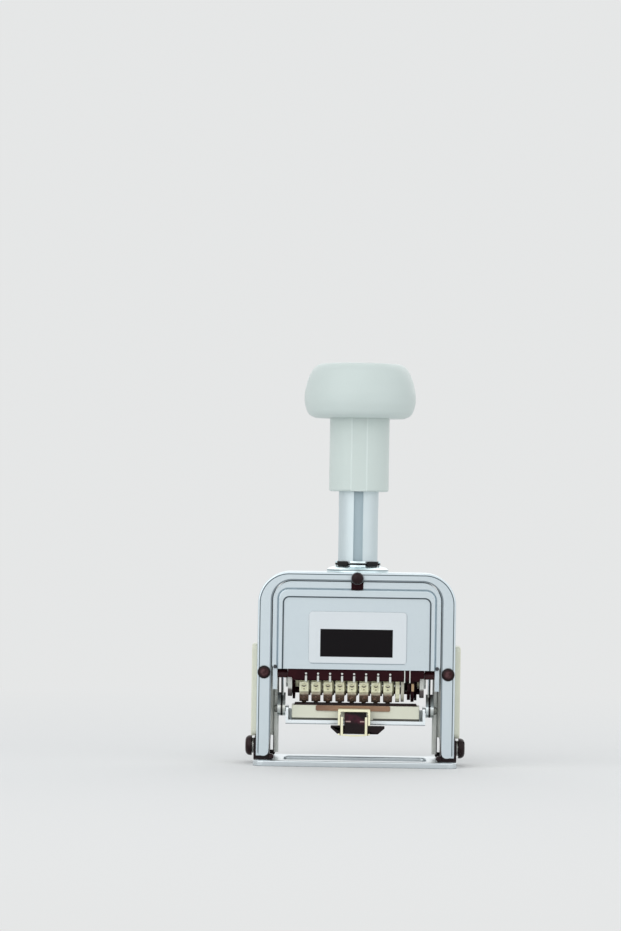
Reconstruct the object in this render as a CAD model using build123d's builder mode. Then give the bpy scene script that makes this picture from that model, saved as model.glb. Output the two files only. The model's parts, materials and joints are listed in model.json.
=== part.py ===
from build123d import *
import os
from math import cos, radians, sin

# Hand numbering machine: a plunger with eight number wheels rides inside an arched frame.
# Millimetres, +Z up, front towards -Y, origin on the desk under the middle of the base.

# shared clearances
slide_gap = 0.3  # between a moving cover and the frame
run_gap = 0.05  # radial gap of a shaft in its hole
press_gap = 0.02  # radial gap of a fixed pin or screw
travel = 23.5  # stroke of the handle
loose = 0.1  # gap between faces that only lie near each other
edge_soft = 0.5  # rounding of a pressed sheet edge
dome = 0.7  # rounding of a screw head, as a part of its height
slot_width = 0.9
overcut = 1.0  # how far a cut runs past the face it opens

# frame
frame_depth = 30.0
frame_top = 74.3
frame_radius = 12.0
frame_wall = 1.6
roof_wall = 1.2
leg_band = 5.4  # width of the front flange on a leg
top_band = 3.3  # height of the front flange under the roof
opening_radius = 7.6
tongue_height = 10.0
tongue_taper = 0.75
tongue_radius = 1.8

# base and feet
base_depth = 42.0
base_thick = 2.2
base_radius = 4.0
window_margin = 1.3  # between a wheel plate and the end of the window
window_depth = 26.0
foot_height = 8.3
foot_floor = 1.4  # foot material under the leg
foot_skin = 0.9
foot_inner = 3.4  # foot thickness inside the leg
foot_pin_radius = 1.05
foot_pin_head = 1.0
foot_pin_bury = 0.25  # how far a pin ear runs into the block
foot_pin_length = 3.0
foot_ear = 2.0
foot_corner = 0.8
side_screw_radius = 3.9
side_screw_head = 2.5
side_screw_shank = 1.6
side_screw_height = 4.5  # above the base
washer_thick = 1.0
washer_radius = 2.9
base_screw_radius = 1.3
base_screw_head = 2.4
base_screw_length = 8.0
base_screw_spacing = 18.0
side_plate_top = 46.2
side_plate_thick = 2.2
side_plate_depth = 16.0
side_plate_radius = 2.0

# guide rails and frame screws
rail_inset = 2.8  # how far the rail's nose stands inside the leg
rail_nose = 2.0
rail_start = 3.0  # front of the nose, behind the middle
rail_depth = 6.0
rail_neck = 2.0
rail_web = 2.0
rail_bottom = 1.8  # above the base
frame_screw_height = 35.7
frame_screw_radius = 2.5
frame_screw_head = 1.9
frame_screw_shank = 0.9
screw_post = 3.4

# hub
hub_radius = 11.9
hub_flange = 2.3
hub_edge = 1.0
spigot_radius = 9.2
lug_height = 2.0
lug_radius = 8.8
lug_gap = 7.6  # between two lugs
bumper_radius = 8.35
key_width = 3.5

# handle
stem_radius = 7.7
stem_bore = 5.7
keyway_width = 3.7
keyway_depth = 1.4
handle_spare = 3.4  # stem still bare at the end of the stroke
sleeve_radius = 11.55
sleeve_length = 28.4
sleeve_edge = 0.9
band_width = 6.0
band_depth = 0.5
knob_height = 21.1
knob_foot = 17.6
knob_profile = (  # radius, and height as a part of the knob's
    (knob_foot, 0.0),
    (20.2, 0.1),
    (21.6, 0.36),
    (20.9, 0.6),
    (18.7, 0.87),
    (17.1, 0.975),
    (15.4, 1.0),
)
plug_thick = 3.0
plug_flange = 1.0
stud_radius = 3.0
stud_length = 9.0
pin_radius = 0.8
spring_wire = 1.0
spring_radius = 4.6
spring_end = 0.7  # middle of the last coil above its seat
spring_turns = 11
collar_thick = 1.1
collar_radius = 10.0
thread_radius = 6.5
nut_height = 4.0
nut_width = 17.0

# housing and covers
cover_recess = 0.4  # crest of a cover behind the frame's face
housing_roof = 2.5
housing_drop = 1.2  # roof below the top edge of the covers
cheek_wall = 1.7
cheek_inset = 0.3
cheek_bottom = 29.0
cover_thick = 2.5
rim_rise = 0.8
rim_bevel = 0.64
rim_inset = 2.7
rim_side_inset = 1.8
rim_radius = 4.2
cover_foot_radius = 1.6
panel_side_inset = 4.1
panel_top_inset = 6.1
panel_sink = 1.4  # below the crest of the rim
panel_radius = 2.2
pocket_side = 7.3
pocket_frame = 6.0
pocket_depth = 0.6
notch_width = 4.8
notch_height = 3.0
notch_lean = 80
label_width = 37.6
label_height = 20.0
label_thick = 0.7
label_offset = 0.5
label_inset = 2.2  # above the lower edge of the cover
label_radius = 1.5
label_soft = 0.25
lug_width = 4.6
lug_tall = 5.0
lug_thick = 2.4
lug_inset = 7.0  # middle of a lug from the cover's foot and from the roof
cover_screw_radius = 1.9
cover_screw_shank = 0.9
cover_screw_rise = 0.9
cover_slot = 0.7

# number wheels
wheel_count = 8
digits = 10
wheel_pitch = 4.62
left_space = 2.85  # from the left wheel plate to the first wheel
right_space = 2.2  # from the selector to the right wheel plate
wheel_width = 3.5
type_radius = 8.9  # printing face of a raised figure
type_rise = 0.4
block_base = 4.9
block_face = 3.9
drum_radius = 7.0
block_foot = 0.5  # straight part of a block above the drum
block_bury = 0.6
print_gap = 0.2
ratchet_radius = 6.4
ratchet_root = 5.3
ratchet_width = 0.75
shaft_radius = 2.0
spacer_radius = 3.0
plate_wall = 1.6
plate_depth = 16.4
plate_foot = 6.4  # below the wheel axis
plate_corner = 2.5
shaft_nut_width = 5.4
shaft_nut_thick = 0.9
tie_radius = 1.5
tie_head = 2.1
tie_head_thick = 0.8
tie_rise = 25.0
tie_spacing = 10.0

# drive and selector
drive_gap = 0.46
drive_width = 1.6
drive_radius = 8.4
drive_teeth = 20
tooth_depth = 0.9
tooth_lean = 4.0  # degrees from tip to root on the steep flank
selector_gap = 0.5
selector_length = 5.0
selector_radius = 8.2
selector_hub = 4.2
selector_disc = 7.5
selector_notch = 1.6
selector_flange = 1.2
yoke_wall = 1.0
yoke_gap = 0.15
yoke_reach = 10.4
yoke_drop = 4.3
yoke_bar = 1.5
yoke_boss = 3.2
yoke_heel = 2.0
yoke_heel_drop = 6.2
pawl_wall = 0.6
pawl_gap = 0.2
pawl_half = 0.95
pawl_hook = 1.52

# detent bar
bar_front = 12.6
bar_depth = 2.8
bar_height = 4.4
bar_tab = 3.2  # height of the end tabs
finger_width = 0.8
finger_thick = 0.3
finger_offset = 0.8
finger_height = 1.9
dot_radius = 0.4
long_finger_places = (1.3, 3.3)  # from the selector's left end
long_finger_width = 0.4
dot_height = 2.7

# ink arms, carrier and cassette
pivot_back = -6.0
pivot_rise = 2.4  # above the wheel axis
pivot_cover = 2.0  # from the pivot up to the covers
stud_pin = 0.8
bush_radius = 1.7
arm_space = 4.1  # between a wheel plate and the housing's cheek
arm_plate_gap = 1.6
arm_wall = 1.0
arm_cheek_gap = 0.9
arm_cheek_wall = 3.0
arm_length = 16.4
arm_half = 1.5
arm_crank = 2.6  # bend behind the pivot, at the knee and below it
arm_crank_low = 3.0
arm_knee = 5.7
arm_shin = 9.0
rivet_drop = 13.7
rivet_step = 1.0  # rivet behind the pivot
rivet_shank = 0.9
rivet_head = 1.5
rivet_inner = 0.5
rivet_outer = 1.4
carrier_front = -7.0
carrier_depth = 12.5
carrier_wall = 1.0
carrier_floor = 1.2
carrier_height = 6.8
carrier_step = 1.4  # rear wall below the end walls
carrier_corner = 1.2
runner_width = 2.0
runner_inset = 4.0
lip_height = 1.6
lip_depth = 0.8
pad_gap = 0.5  # pad face below the plain type blocks
case_side_gap = 1.3
case_wall = 0.8
case_height = 5.6
case_back_gap = 0.3
pad_proud = 0.7
pad_side = 0.4
clip_width = 28.6
clip_height = 2.1
clip_thick = 0.5
clip_offset = -1.0
staple_width = 12.4
staple_wire = 1.0
staple_reach = 6.6
staple_thick = 0.9
staple_foot = 0.6
staple_sag = 0.5
staple_inner = 6.6  # height of the inner legs
staple_offset = -0.5
tab_head = 20.8
tab_offset = 0.9  # middle of the wings, right of the middle
tab_lean = 2.6  # slant of a wing's end
tab_thick = 3.4
tab_body = 8.4
tab_inset = 0.8
tab_corner = 0.9
tab_soft = 0.4

# lock button
lock_radius = 0.9
lock_head = 2.4
lock_dome = 2.8
lock_stand = 2.9
lock_tip = 8.6
lock_wire = 0.35
lock_coil = 1.6
lock_turns = 3

# widths worked out from the row of wheels outwards
train_length = sum(
    (
        left_space,
        wheel_pitch * (wheel_count - 1) + wheel_width + ratchet_width,
        drive_gap + drive_width,
        selector_gap + selector_length,
        right_space,
    )
)
plate_face = train_length / 2  # inner face of a wheel plate, from the middle
plate_outer = plate_face + plate_wall
wheel_left = left_space - plate_face
wheel_x = [wheel_left + wheel_width / 2 + wheel_pitch * k for k in range(wheel_count)]
drive_start = wheel_x[-1] + wheel_width / 2 + ratchet_width + drive_gap
selector_start = drive_start + drive_width + selector_gap
selector_end = selector_start + selector_length
arm_cheek = plate_outer + arm_cheek_gap
arm_plate = plate_outer + arm_plate_gap
carrier_half = arm_cheek - 2 * loose
case_width = 2 * (carrier_half - carrier_wall - case_side_gap)
cheek_inner = plate_outer + arm_space
cheek_outer = cheek_inner + cheek_wall
cover_half = cheek_outer + cheek_inset
panel_width = 2 * (cover_half - panel_side_inset)
pocket_half = cover_half - pocket_side
leg_inner = cover_half + slide_gap
rail_face = leg_inner - rail_inset
half_width = leg_inner + leg_band
frame_width = 2 * half_width
wall_inner = half_width - frame_wall
foot_outer = half_width + run_gap + foot_skin
base_width = 2 * (foot_outer + run_gap)
window_width = 2 * (plate_outer + window_margin)

# depths worked out from the frame inwards
half_depth = frame_depth / 2
flange_inner = half_depth - frame_wall
cover_crest = half_depth - cover_recess
cover_face = cover_crest - rim_rise
cover_back = cover_face - cover_thick
panel_face = cover_crest - panel_sink

# heights worked out from the driving dimensions
base_top = base_thick
leg_end = base_top + foot_floor
foot_top = base_top + foot_height
wheel_z = travel + print_gap + type_radius
pivot_z = wheel_z + pivot_rise
block_radius = type_radius - type_rise
pad_top = wheel_z - block_radius - pad_gap
hub_top = frame_top + hub_flange
sleeve_bottom = hub_top + lug_height + travel + handle_spare
knob_bottom = sleeve_bottom + sleeve_length
cover_top = frame_top - top_band - slide_gap
cover_bottom = pivot_z + pivot_cover
housing_top = cover_top - housing_drop
housing_under = housing_top - housing_roof
pin_z = frame_top + hub_flange / 2
bar_radius = (yoke_reach**2 + yoke_drop**2) ** 0.5
case_bottom = pad_top - pad_proud - case_height
carrier_bottom = case_bottom - lip_height - loose
case_front = -carrier_front - loose
keyway_floor = stem_radius - keyway_depth
lock_z = frame_top - roof_wall - lock_radius - loose

upright = (Align.CENTER, Align.CENTER, Align.MIN)

os.makedirs("parts", exist_ok=True)


def front(y):
    """A sketch plane at this depth: local x is X, local y is Z, extrusion goes to the front."""
    return Plane.XZ.offset(-y)


def side(x):
    """A sketch plane at this X: local x is Y, local y is Z, extrusion goes to +X."""
    return Plane.YZ.offset(x)


def across(x, y, z, hand=1):
    """A plane at this point that faces +X, or -X with hand -1."""
    return Plane((x, y, z), z_dir=(hand, 0, 0))


def round_rims(axis, place, radius):
    """Rounds the circular rims that lie this far from the middle along an axis."""
    rims = edges().filter_by(GeomType.CIRCLE)
    fillet(rims.filter_by(lambda e: abs(abs(getattr(e.center(), axis)) - place) < run_gap / 2), radius)


def save(builder, name):
    """Labels one finished piece and writes its file."""
    builder.part.label = name
    export_step(builder.part, f"parts/{name}.step")


# frame
frame_mid = (frame_top + leg_end) / 2
frame_tall = frame_top - leg_end

with BuildPart() as outer_frame:
    with BuildSketch(front(half_depth)):
        with Locations((0, frame_mid)):
            Rectangle(frame_width, frame_tall)
        fillet(vertices().group_by(Axis.Y)[-1], frame_radius)
    extrude(amount=frame_depth)
    front_rims = edges().filter_by(Plane.XZ)
    fillet(front_rims.filter_by(lambda e: e.center().Z > leg_end + loose), edge_soft)
    with BuildSketch(front(flange_inner)):
        with Locations((0, frame_mid - roof_wall)):
            Rectangle(2 * wall_inner, frame_tall)
        fillet(vertices().group_by(Axis.Y)[-1], frame_radius - frame_wall)
    extrude(amount=2 * flange_inner, mode=Mode.SUBTRACT)
    with BuildSketch(front(half_depth)):
        with Locations((0, frame_mid - top_band)):
            Rectangle(2 * leg_inner, frame_tall)
        fillet(vertices().group_by(Axis.Y)[-1], opening_radius)
    extrude(amount=frame_depth, mode=Mode.SUBTRACT)
    # each flange ends in a tapering, rounded tongue in front of its foot
    tongue_root = leg_end + tongue_height
    for y in (-flange_inner, half_depth):
        with BuildSketch(front(y)):
            with Locations((0, leg_end + tongue_height / 2)):
                Rectangle(frame_width + 2 * overcut, tongue_height)
        extrude(amount=frame_wall, mode=Mode.SUBTRACT)
        for hand in (1, -1):
            with BuildSketch(front(y)):
                with BuildLine():
                    Polyline(
                        (hand * half_width, tongue_root),
                        (hand * (half_width - tongue_taper), leg_end),
                        (hand * (leg_inner + tongue_taper), leg_end),
                        (hand * leg_inner, tongue_root),
                        close=True,
                    )
                make_face()
                fillet(vertices().group_by(Axis.Y)[0], tongue_radius)
            extrude(amount=frame_wall)
    # hub seat, lock slot and screw holes
    with Locations((0, 0, frame_top)):
        Hole(spigot_radius + run_gap, depth=2 * roof_wall)
    with BuildSketch(front(-flange_inner)):
        with Locations((0, lock_z)):
            Circle(lock_radius + run_gap)
        with Locations((0, lock_z - top_band / 2)):
            Rectangle(2 * (lock_radius + run_gap), top_band)
    extrude(amount=frame_wall, mode=Mode.SUBTRACT)
    for hand in (1, -1):
        with Locations(across(hand * half_width, 0, base_top + side_screw_height, hand)):
            Hole(side_screw_shank + press_gap, depth=frame_wall)
        with BuildSketch(front(half_depth)):
            with Locations((hand * (half_width - leg_band / 2), frame_screw_height)):
                Circle(frame_screw_shank + press_gap)
        extrude(amount=frame_depth, mode=Mode.SUBTRACT)
save(outer_frame, "outer_frame")

foot_face = wall_inner - foot_inner
foot_half_depth = flange_inner - 2 * loose
foot_pin_x = foot_face - foot_pin_radius + foot_pin_bury
foot_pin_z = base_top + foot_pin_radius + run_gap
base_screw_x = (foot_face + wall_inner) / 2

with BuildPart() as base_plate:
    with BuildSketch(Plane.XY):
        RectangleRounded(base_width, base_depth, base_radius)
        RectangleRounded(window_width, window_depth, base_radius / 2, mode=Mode.SUBTRACT)
    extrude(amount=base_thick)
    fillet(faces().sort_by(Axis.Z)[-1].outer_wire().edges(), edge_soft)
    chamfer(faces().sort_by(Axis.Z)[-1].inner_wires()[0].edges(), edge_soft)
    with Locations(Plane.XY.rotated((180, 0, 0))):
        with GridLocations(2 * base_screw_x, base_screw_spacing, 2, 2):
            CounterSinkHole(base_screw_radius + press_gap, base_screw_head + press_gap, base_thick)
save(base_plate, "base_plate")

for hand, name in ((-1, "left"), (1, "right")):
    block_mid = hand * (foot_face + foot_outer) / 2
    with BuildPart() as foot_block:
        with BuildSketch(front(foot_half_depth)):
            with Locations((block_mid, base_top + foot_height / 2)):
                Rectangle(foot_outer - foot_face, foot_height)
            fillet(vertices().group_by(Axis.Y)[-1], foot_corner)
            with Locations((hand * (half_width + wall_inner) / 2, leg_end + foot_height / 2)):
                Rectangle(frame_wall + 2 * run_gap, foot_height, mode=Mode.SUBTRACT)
        extrude(amount=2 * foot_half_depth)
        # an ear at each end carries the corner pin
        for y in (foot_half_depth, -foot_half_depth + foot_ear):
            with BuildSketch(front(y)):
                with Locations((hand * foot_pin_x, foot_pin_z)):
                    Circle(foot_pin_radius)
                with Locations((hand * (foot_pin_x + foot_pin_radius), foot_pin_z)):
                    Rectangle(2 * foot_pin_radius, 2 * foot_pin_radius)
            extrude(amount=foot_ear)
        with BuildSketch(front(foot_half_depth)):
            with Locations((hand * foot_pin_x, foot_pin_z)):
                Circle(foot_pin_radius / 2 + press_gap)
        extrude(amount=2 * foot_half_depth, mode=Mode.SUBTRACT)
        with Locations(across(hand * foot_outer, 0, base_top + side_screw_height, hand)):
            Hole(side_screw_shank + press_gap)
        with Locations(*[(hand * base_screw_x, end * base_screw_spacing / 2) for end in (1, -1)]):
            Cylinder(
                base_screw_radius + press_gap,
                foot_height,
                align=upright,
                mode=Mode.SUBTRACT,
            )
    save(foot_block, f"{name}_foot_block")

with BuildPart() as foot_pins:
    for hand in (1, -1):
        for end in (1, -1):
            pin_plane = Plane(
                (hand * foot_pin_x, end * foot_half_depth, foot_pin_z), z_dir=(0, end, 0)
            )
            with BuildSketch(pin_plane):
                Circle(foot_pin_radius)
            extrude(amount=foot_pin_head)
            with BuildSketch(pin_plane):
                Circle(foot_pin_radius / 2)
            extrude(amount=-foot_pin_length)
    round_rims("Y", foot_half_depth + foot_pin_head, foot_pin_head * dome)
save(foot_pins, "foot_pins")

with BuildPart() as base_screws:
    with Locations(Plane.XY):
        with GridLocations(2 * base_screw_x, base_screw_spacing, 2, 2):
            Cylinder(base_screw_radius, base_screw_length, align=upright)
            Cone(
                base_screw_head,
                base_screw_radius,
                base_screw_head - base_screw_radius,
                align=upright,
            )
save(base_screws, "base_screws")

side_screw_z = base_top + side_screw_height
washer_face = foot_outer + washer_thick

with BuildPart() as side_washers:
    for hand in (1, -1):
        with BuildSketch(across(hand * foot_outer, 0, side_screw_z, hand)):
            Circle(washer_radius)
            Circle(side_screw_shank + press_gap, mode=Mode.SUBTRACT)
        extrude(amount=washer_thick)
save(side_washers, "side_washers")

with BuildPart() as side_screws:
    for hand in (1, -1):
        screw_plane = across(hand * washer_face, 0, side_screw_z, hand)
        with BuildSketch(screw_plane):
            Circle(side_screw_radius)
        extrude(amount=side_screw_head)
        with BuildSketch(screw_plane):
            Circle(side_screw_shank)
        extrude(amount=-(washer_face - foot_face))
    round_rims("X", washer_face + side_screw_head, side_screw_head * dome)
    for hand in (1, -1):
        slot_plane = across(hand * (washer_face + side_screw_head), 0, side_screw_z, hand)
        with BuildSketch(slot_plane):
            Rectangle(slot_width, 2 * side_screw_radius)
        extrude(amount=-slot_width, mode=Mode.SUBTRACT)
save(side_screws, "side_screws")

side_plate_bottom = foot_top + slide_gap
for hand, name in ((-1, "left"), (1, "right")):
    with BuildPart() as side_plate:
        with BuildSketch(side(hand * half_width)):
            with Locations((0, (side_plate_bottom + side_plate_top) / 2)):
                RectangleRounded(side_plate_depth, side_plate_top - side_plate_bottom, side_plate_radius)
        extrude(amount=hand * side_plate_thick)
        outer_face = faces().sort_by(Axis.X)[-1 if hand > 0 else 0]
        fillet(outer_face.edges(), edge_soft)
    save(side_plate, f"{name}_side_plate")

rail_top = frame_top - frame_radius
post_mid = half_width - leg_band / 2
for hand, name in ((-1, "left"), (1, "right")):
    web_mid = wall_inner - rail_web / 2
    nose_mid = rail_face + rail_nose / 2
    neck_start = rail_face + rail_nose
    rail_mid = rail_start + rail_depth / 2
    with BuildPart() as guide_rail:
        with BuildSketch(Plane.XY.offset(foot_top)):
            with Locations((hand * web_mid, 0)):
                Rectangle(rail_web, 2 * flange_inner)
            with Locations((hand * (neck_start + wall_inner - rail_web) / 2, rail_mid)):
                Rectangle(wall_inner - rail_web - neck_start, rail_neck)
        extrude(amount=rail_top - foot_top)
        with BuildSketch(Plane.XY.offset(base_top + rail_bottom)):
            with Locations((hand * nose_mid, rail_mid)):
                Rectangle(rail_nose, rail_depth)
            fillet(vertices(), edge_soft)
        extrude(amount=rail_top - base_top - rail_bottom)
        for y in (flange_inner, -flange_inner + screw_post):
            with BuildSketch(front(y)):
                with Locations((hand * (foot_face + wall_inner) / 2, frame_screw_height)):
                    Rectangle(wall_inner - foot_face, 2 * frame_screw_radius)
            extrude(amount=screw_post)
            with BuildSketch(front(y)):
                with Locations((hand * post_mid, frame_screw_height)):
                    Circle(frame_screw_shank + press_gap)
            extrude(amount=screw_post, mode=Mode.SUBTRACT)
    save(guide_rail, f"{name}_guide_rail")

with BuildPart() as frame_screws:
    for hand in (1, -1):
        for end in (1, -1):
            head_plane = Plane((hand * post_mid, end * half_depth, frame_screw_height), z_dir=(0, end, 0))
            with BuildSketch(head_plane):
                Circle(frame_screw_radius)
            extrude(amount=frame_screw_head)
            with BuildSketch(head_plane):
                Circle(frame_screw_shank)
            extrude(amount=-(frame_wall + screw_post - edge_soft))
    round_rims("Y", half_depth + frame_screw_head, frame_screw_head * dome)
save(frame_screws, "frame_screws")

# hub
hub_bottom = cover_top + slide_gap
with BuildPart() as hub_collar:
    with BuildSketch(Plane.XZ):
        with BuildLine():
            Polyline(
                (stem_radius + run_gap, hub_bottom),
                (spigot_radius, hub_bottom),
                (spigot_radius, frame_top),
                (hub_radius, frame_top),
                (hub_radius, frame_top + hub_edge),
                (hub_radius - hub_edge, hub_top - hub_edge / 2),
                (lug_radius, hub_top),
                (stem_radius + run_gap, hub_top),
                close=True,
            )
        make_face()
    revolve(axis=Axis.Z)
    # four low lugs hold the rubber ring
    with BuildSketch(Plane.XY.offset(hub_top)):
        Circle(lug_radius)
        Circle(bumper_radius + run_gap, mode=Mode.SUBTRACT)
        with PolarLocations(0, 4, start_angle=45):
            with Locations((lug_radius, 0)):
                Rectangle(lug_gap, lug_gap, mode=Mode.SUBTRACT)
    extrude(amount=lug_height)
    # the key keeps the stem from turning
    with BuildSketch(Plane.XY.offset(frame_top)):
        with Locations((0, -(keyway_floor + stem_radius + 2 * run_gap + loose) / 2)):
            Rectangle(key_width, keyway_depth)
    extrude(amount=hub_flange)
    with BuildSketch(front(0)):
        with Locations((0, lock_z)):
            Circle(lock_radius + run_gap)
    extrude(amount=hub_radius, mode=Mode.SUBTRACT)
    with Locations(across(0, 0, pin_z)):
        Cylinder(pin_radius + press_gap, 2 * hub_radius, mode=Mode.SUBTRACT)
save(hub_collar, "hub_collar")

with BuildPart() as bumper_ring:
    with BuildSketch(Plane.XY.offset(hub_top)):
        Circle(bumper_radius)
        with PolarLocations(0, 4, start_angle=45):
            with Locations((lug_radius / 2, 0)):
                Rectangle(lug_gap, lug_gap - 2 * slide_gap)
        Circle(stem_radius + 2 * run_gap, mode=Mode.SUBTRACT)
    extrude(amount=lug_height)
    fillet(edges().group_by(Axis.Z)[-1], 2 * loose)
save(bumper_ring, "bumper_ring")

with BuildPart() as spring_pin:
    with Locations(across(0, 0, pin_z)):
        Cylinder(pin_radius, 2 * (hub_radius - hub_edge))
    chamfer(edges().filter_by(GeomType.CIRCLE), 2 * loose)
save(spring_pin, "spring_pin")

# handle
stem_top = knob_bottom - plug_thick
thread_end = housing_under - nut_height - hub_edge
with BuildPart() as stem:
    with BuildSketch(Plane.XZ):
        with BuildLine():
            Polyline(
                (stem_bore, thread_end),
                (thread_radius, thread_end),
                (thread_radius, housing_top),
                (collar_radius, housing_top),
                (collar_radius, housing_top + collar_thick),
                (stem_radius, housing_top + collar_thick),
                (stem_radius, stem_top),
                (stem_bore, stem_top),
                close=True,
            )
        make_face()
    revolve(axis=Axis.Z)
    # front keyway for the hub key and the lock pin
    with BuildSketch(Plane.XY.offset(housing_top + collar_thick)):
        with Locations((0, -keyway_floor - keyway_depth)):
            Rectangle(keyway_width, 2 * keyway_depth)
    extrude(amount=stem_top - housing_top, mode=Mode.SUBTRACT)
    # through slot for the spring pin, one stroke long
    with BuildSketch(side(-stem_radius)):
        with Locations((0, pin_z + travel / 2)):
            SlotOverall(travel + 2 * (pin_radius + slide_gap), 2 * (pin_radius + slide_gap), rotation=90)
    extrude(amount=2 * stem_radius, mode=Mode.SUBTRACT)
save(stem, "stem")

with BuildPart() as stem_plug:
    with BuildSketch(Plane.XZ):
        with BuildLine():
            Polyline(
                (0, stem_top - plug_thick),
                (stem_bore - press_gap, stem_top - plug_thick),
                (stem_bore - press_gap, stem_top),
                (stem_radius, stem_top),
                (stem_radius, stem_top + plug_flange),
                (stud_radius, stem_top + plug_flange),
                (stud_radius, knob_bottom + stud_length),
                (0, knob_bottom + stud_length),
                close=True,
            )
        make_face()
    revolve(axis=Axis.Z)
save(stem_plug, "stem_plug")

spring_height = stem_top - plug_thick - pin_z - pin_radius - 2 * spring_end
with BuildPart() as return_spring:
    with BuildLine() as spring_line:
        Helix(
            pitch=spring_height / spring_turns,
            height=spring_height,
            radius=spring_radius,
            center=(0, 0, pin_z + pin_radius + spring_end),
        )
    with BuildSketch(Plane(origin=spring_line.line @ 0, z_dir=spring_line.line % 0)):
        RegularPolygon(spring_wire / 2, 6)
    sweep(is_frenet=True)
save(return_spring, "return_spring")

with BuildPart() as knob_sleeve:
    with BuildSketch(Plane.XZ):
        with BuildLine():
            Polyline(
                (stem_radius + press_gap, sleeve_bottom),
                (sleeve_radius, sleeve_bottom),
                (sleeve_radius, knob_bottom),
                (stud_radius + press_gap, knob_bottom),
                (stud_radius + press_gap, stem_top + plug_flange),
                (stem_radius + press_gap, stem_top + plug_flange),
                close=True,
            )
        make_face()
    revolve(axis=Axis.Z)
    fillet(edges().filter_by(GeomType.CIRCLE).group_by(Axis.Z)[0].sort_by(SortBy.RADIUS)[-1], sleeve_edge)
    with BuildSketch(Plane.XY.offset(sleeve_bottom)):
        with Locations((0, -sleeve_radius)):
            Rectangle(band_width, 2 * band_depth)
    extrude(amount=sleeve_length, mode=Mode.SUBTRACT)
save(knob_sleeve, "knob_sleeve")

with BuildPart() as knob:
    with BuildSketch(Plane.XZ):
        with BuildLine():
            Line((0, knob_bottom), (knob_foot, knob_bottom))
            bulge = Spline(
                *[(radius, knob_bottom + knob_height * rise) for radius, rise in knob_profile],
                tangents=((1, 0.1), (-1, 0)),
            )
            Line(bulge @ 1, (0, knob_bottom + knob_height))
            Line((0, knob_bottom + knob_height), (0, knob_bottom))
        make_face()
    revolve(axis=Axis.Z)
    with Locations((0, 0, knob_bottom)):
        Cylinder(
            stud_radius + press_gap,
            stud_length + slide_gap,
            align=upright,
            mode=Mode.SUBTRACT,
        )
save(knob, "knob")

with BuildPart() as stem_nut:
    with BuildSketch(Plane.XY.offset(housing_under - nut_height)):
        RegularPolygon(nut_width / 2, 6, major_radius=False)
        Circle(thread_radius + press_gap, mode=Mode.SUBTRACT)
    extrude(amount=nut_height)
save(stem_nut, "stem_nut")

# housing
rail_slot_mid = rail_start + rail_depth / 2
lug_x = cheek_inner - lug_width / 2
lug_heights = (cover_bottom + lug_inset, housing_under - lug_inset)
with BuildPart() as housing_body:
    with BuildSketch(front(cover_back)):
        with Locations((0, (cheek_bottom + housing_top) / 2)):
            Rectangle(2 * cheek_outer, housing_top - cheek_bottom)
        fillet(vertices().group_by(Axis.Y)[-1], opening_radius - slide_gap - cheek_inset)
        with Locations((0, (cheek_bottom + housing_under) / 2 - overcut)):
            Rectangle(2 * cheek_inner, housing_under - cheek_bottom + 2 * overcut, mode=Mode.SUBTRACT)
    extrude(amount=2 * cover_back)
    # lugs take the screws of the rear cover
    for z in lug_heights:
        for hand in (1, -1):
            with BuildSketch(front(cover_back)):
                with Locations((hand * lug_x, z)):
                    Rectangle(lug_width, lug_tall)
            extrude(amount=lug_thick)
            with BuildSketch(front(cover_back)):
                with Locations((hand * lug_x, z)):
                    Circle(cover_screw_shank + press_gap)
            extrude(amount=lug_thick, mode=Mode.SUBTRACT)
    # slots for the guide rails
    with BuildSketch(Plane.XY.offset(cheek_bottom - overcut)):
        for hand in (1, -1):
            with Locations((hand * (rail_face - slide_gap + rail_depth), rail_slot_mid)):
                Rectangle(2 * rail_depth, rail_depth + 2 * slide_gap)
    extrude(amount=housing_top - cheek_bottom + 2 * overcut, mode=Mode.SUBTRACT)
    with Locations((0, 0, housing_top)):
        Hole(thread_radius + press_gap, depth=housing_roof)
    # holes for the ink arm studs
    with Locations(across(0, pivot_back, pivot_z)):
        Cylinder(stud_pin + press_gap, 2 * (cheek_outer + overcut), mode=Mode.SUBTRACT)
save(housing_body, "housing_body")


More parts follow.
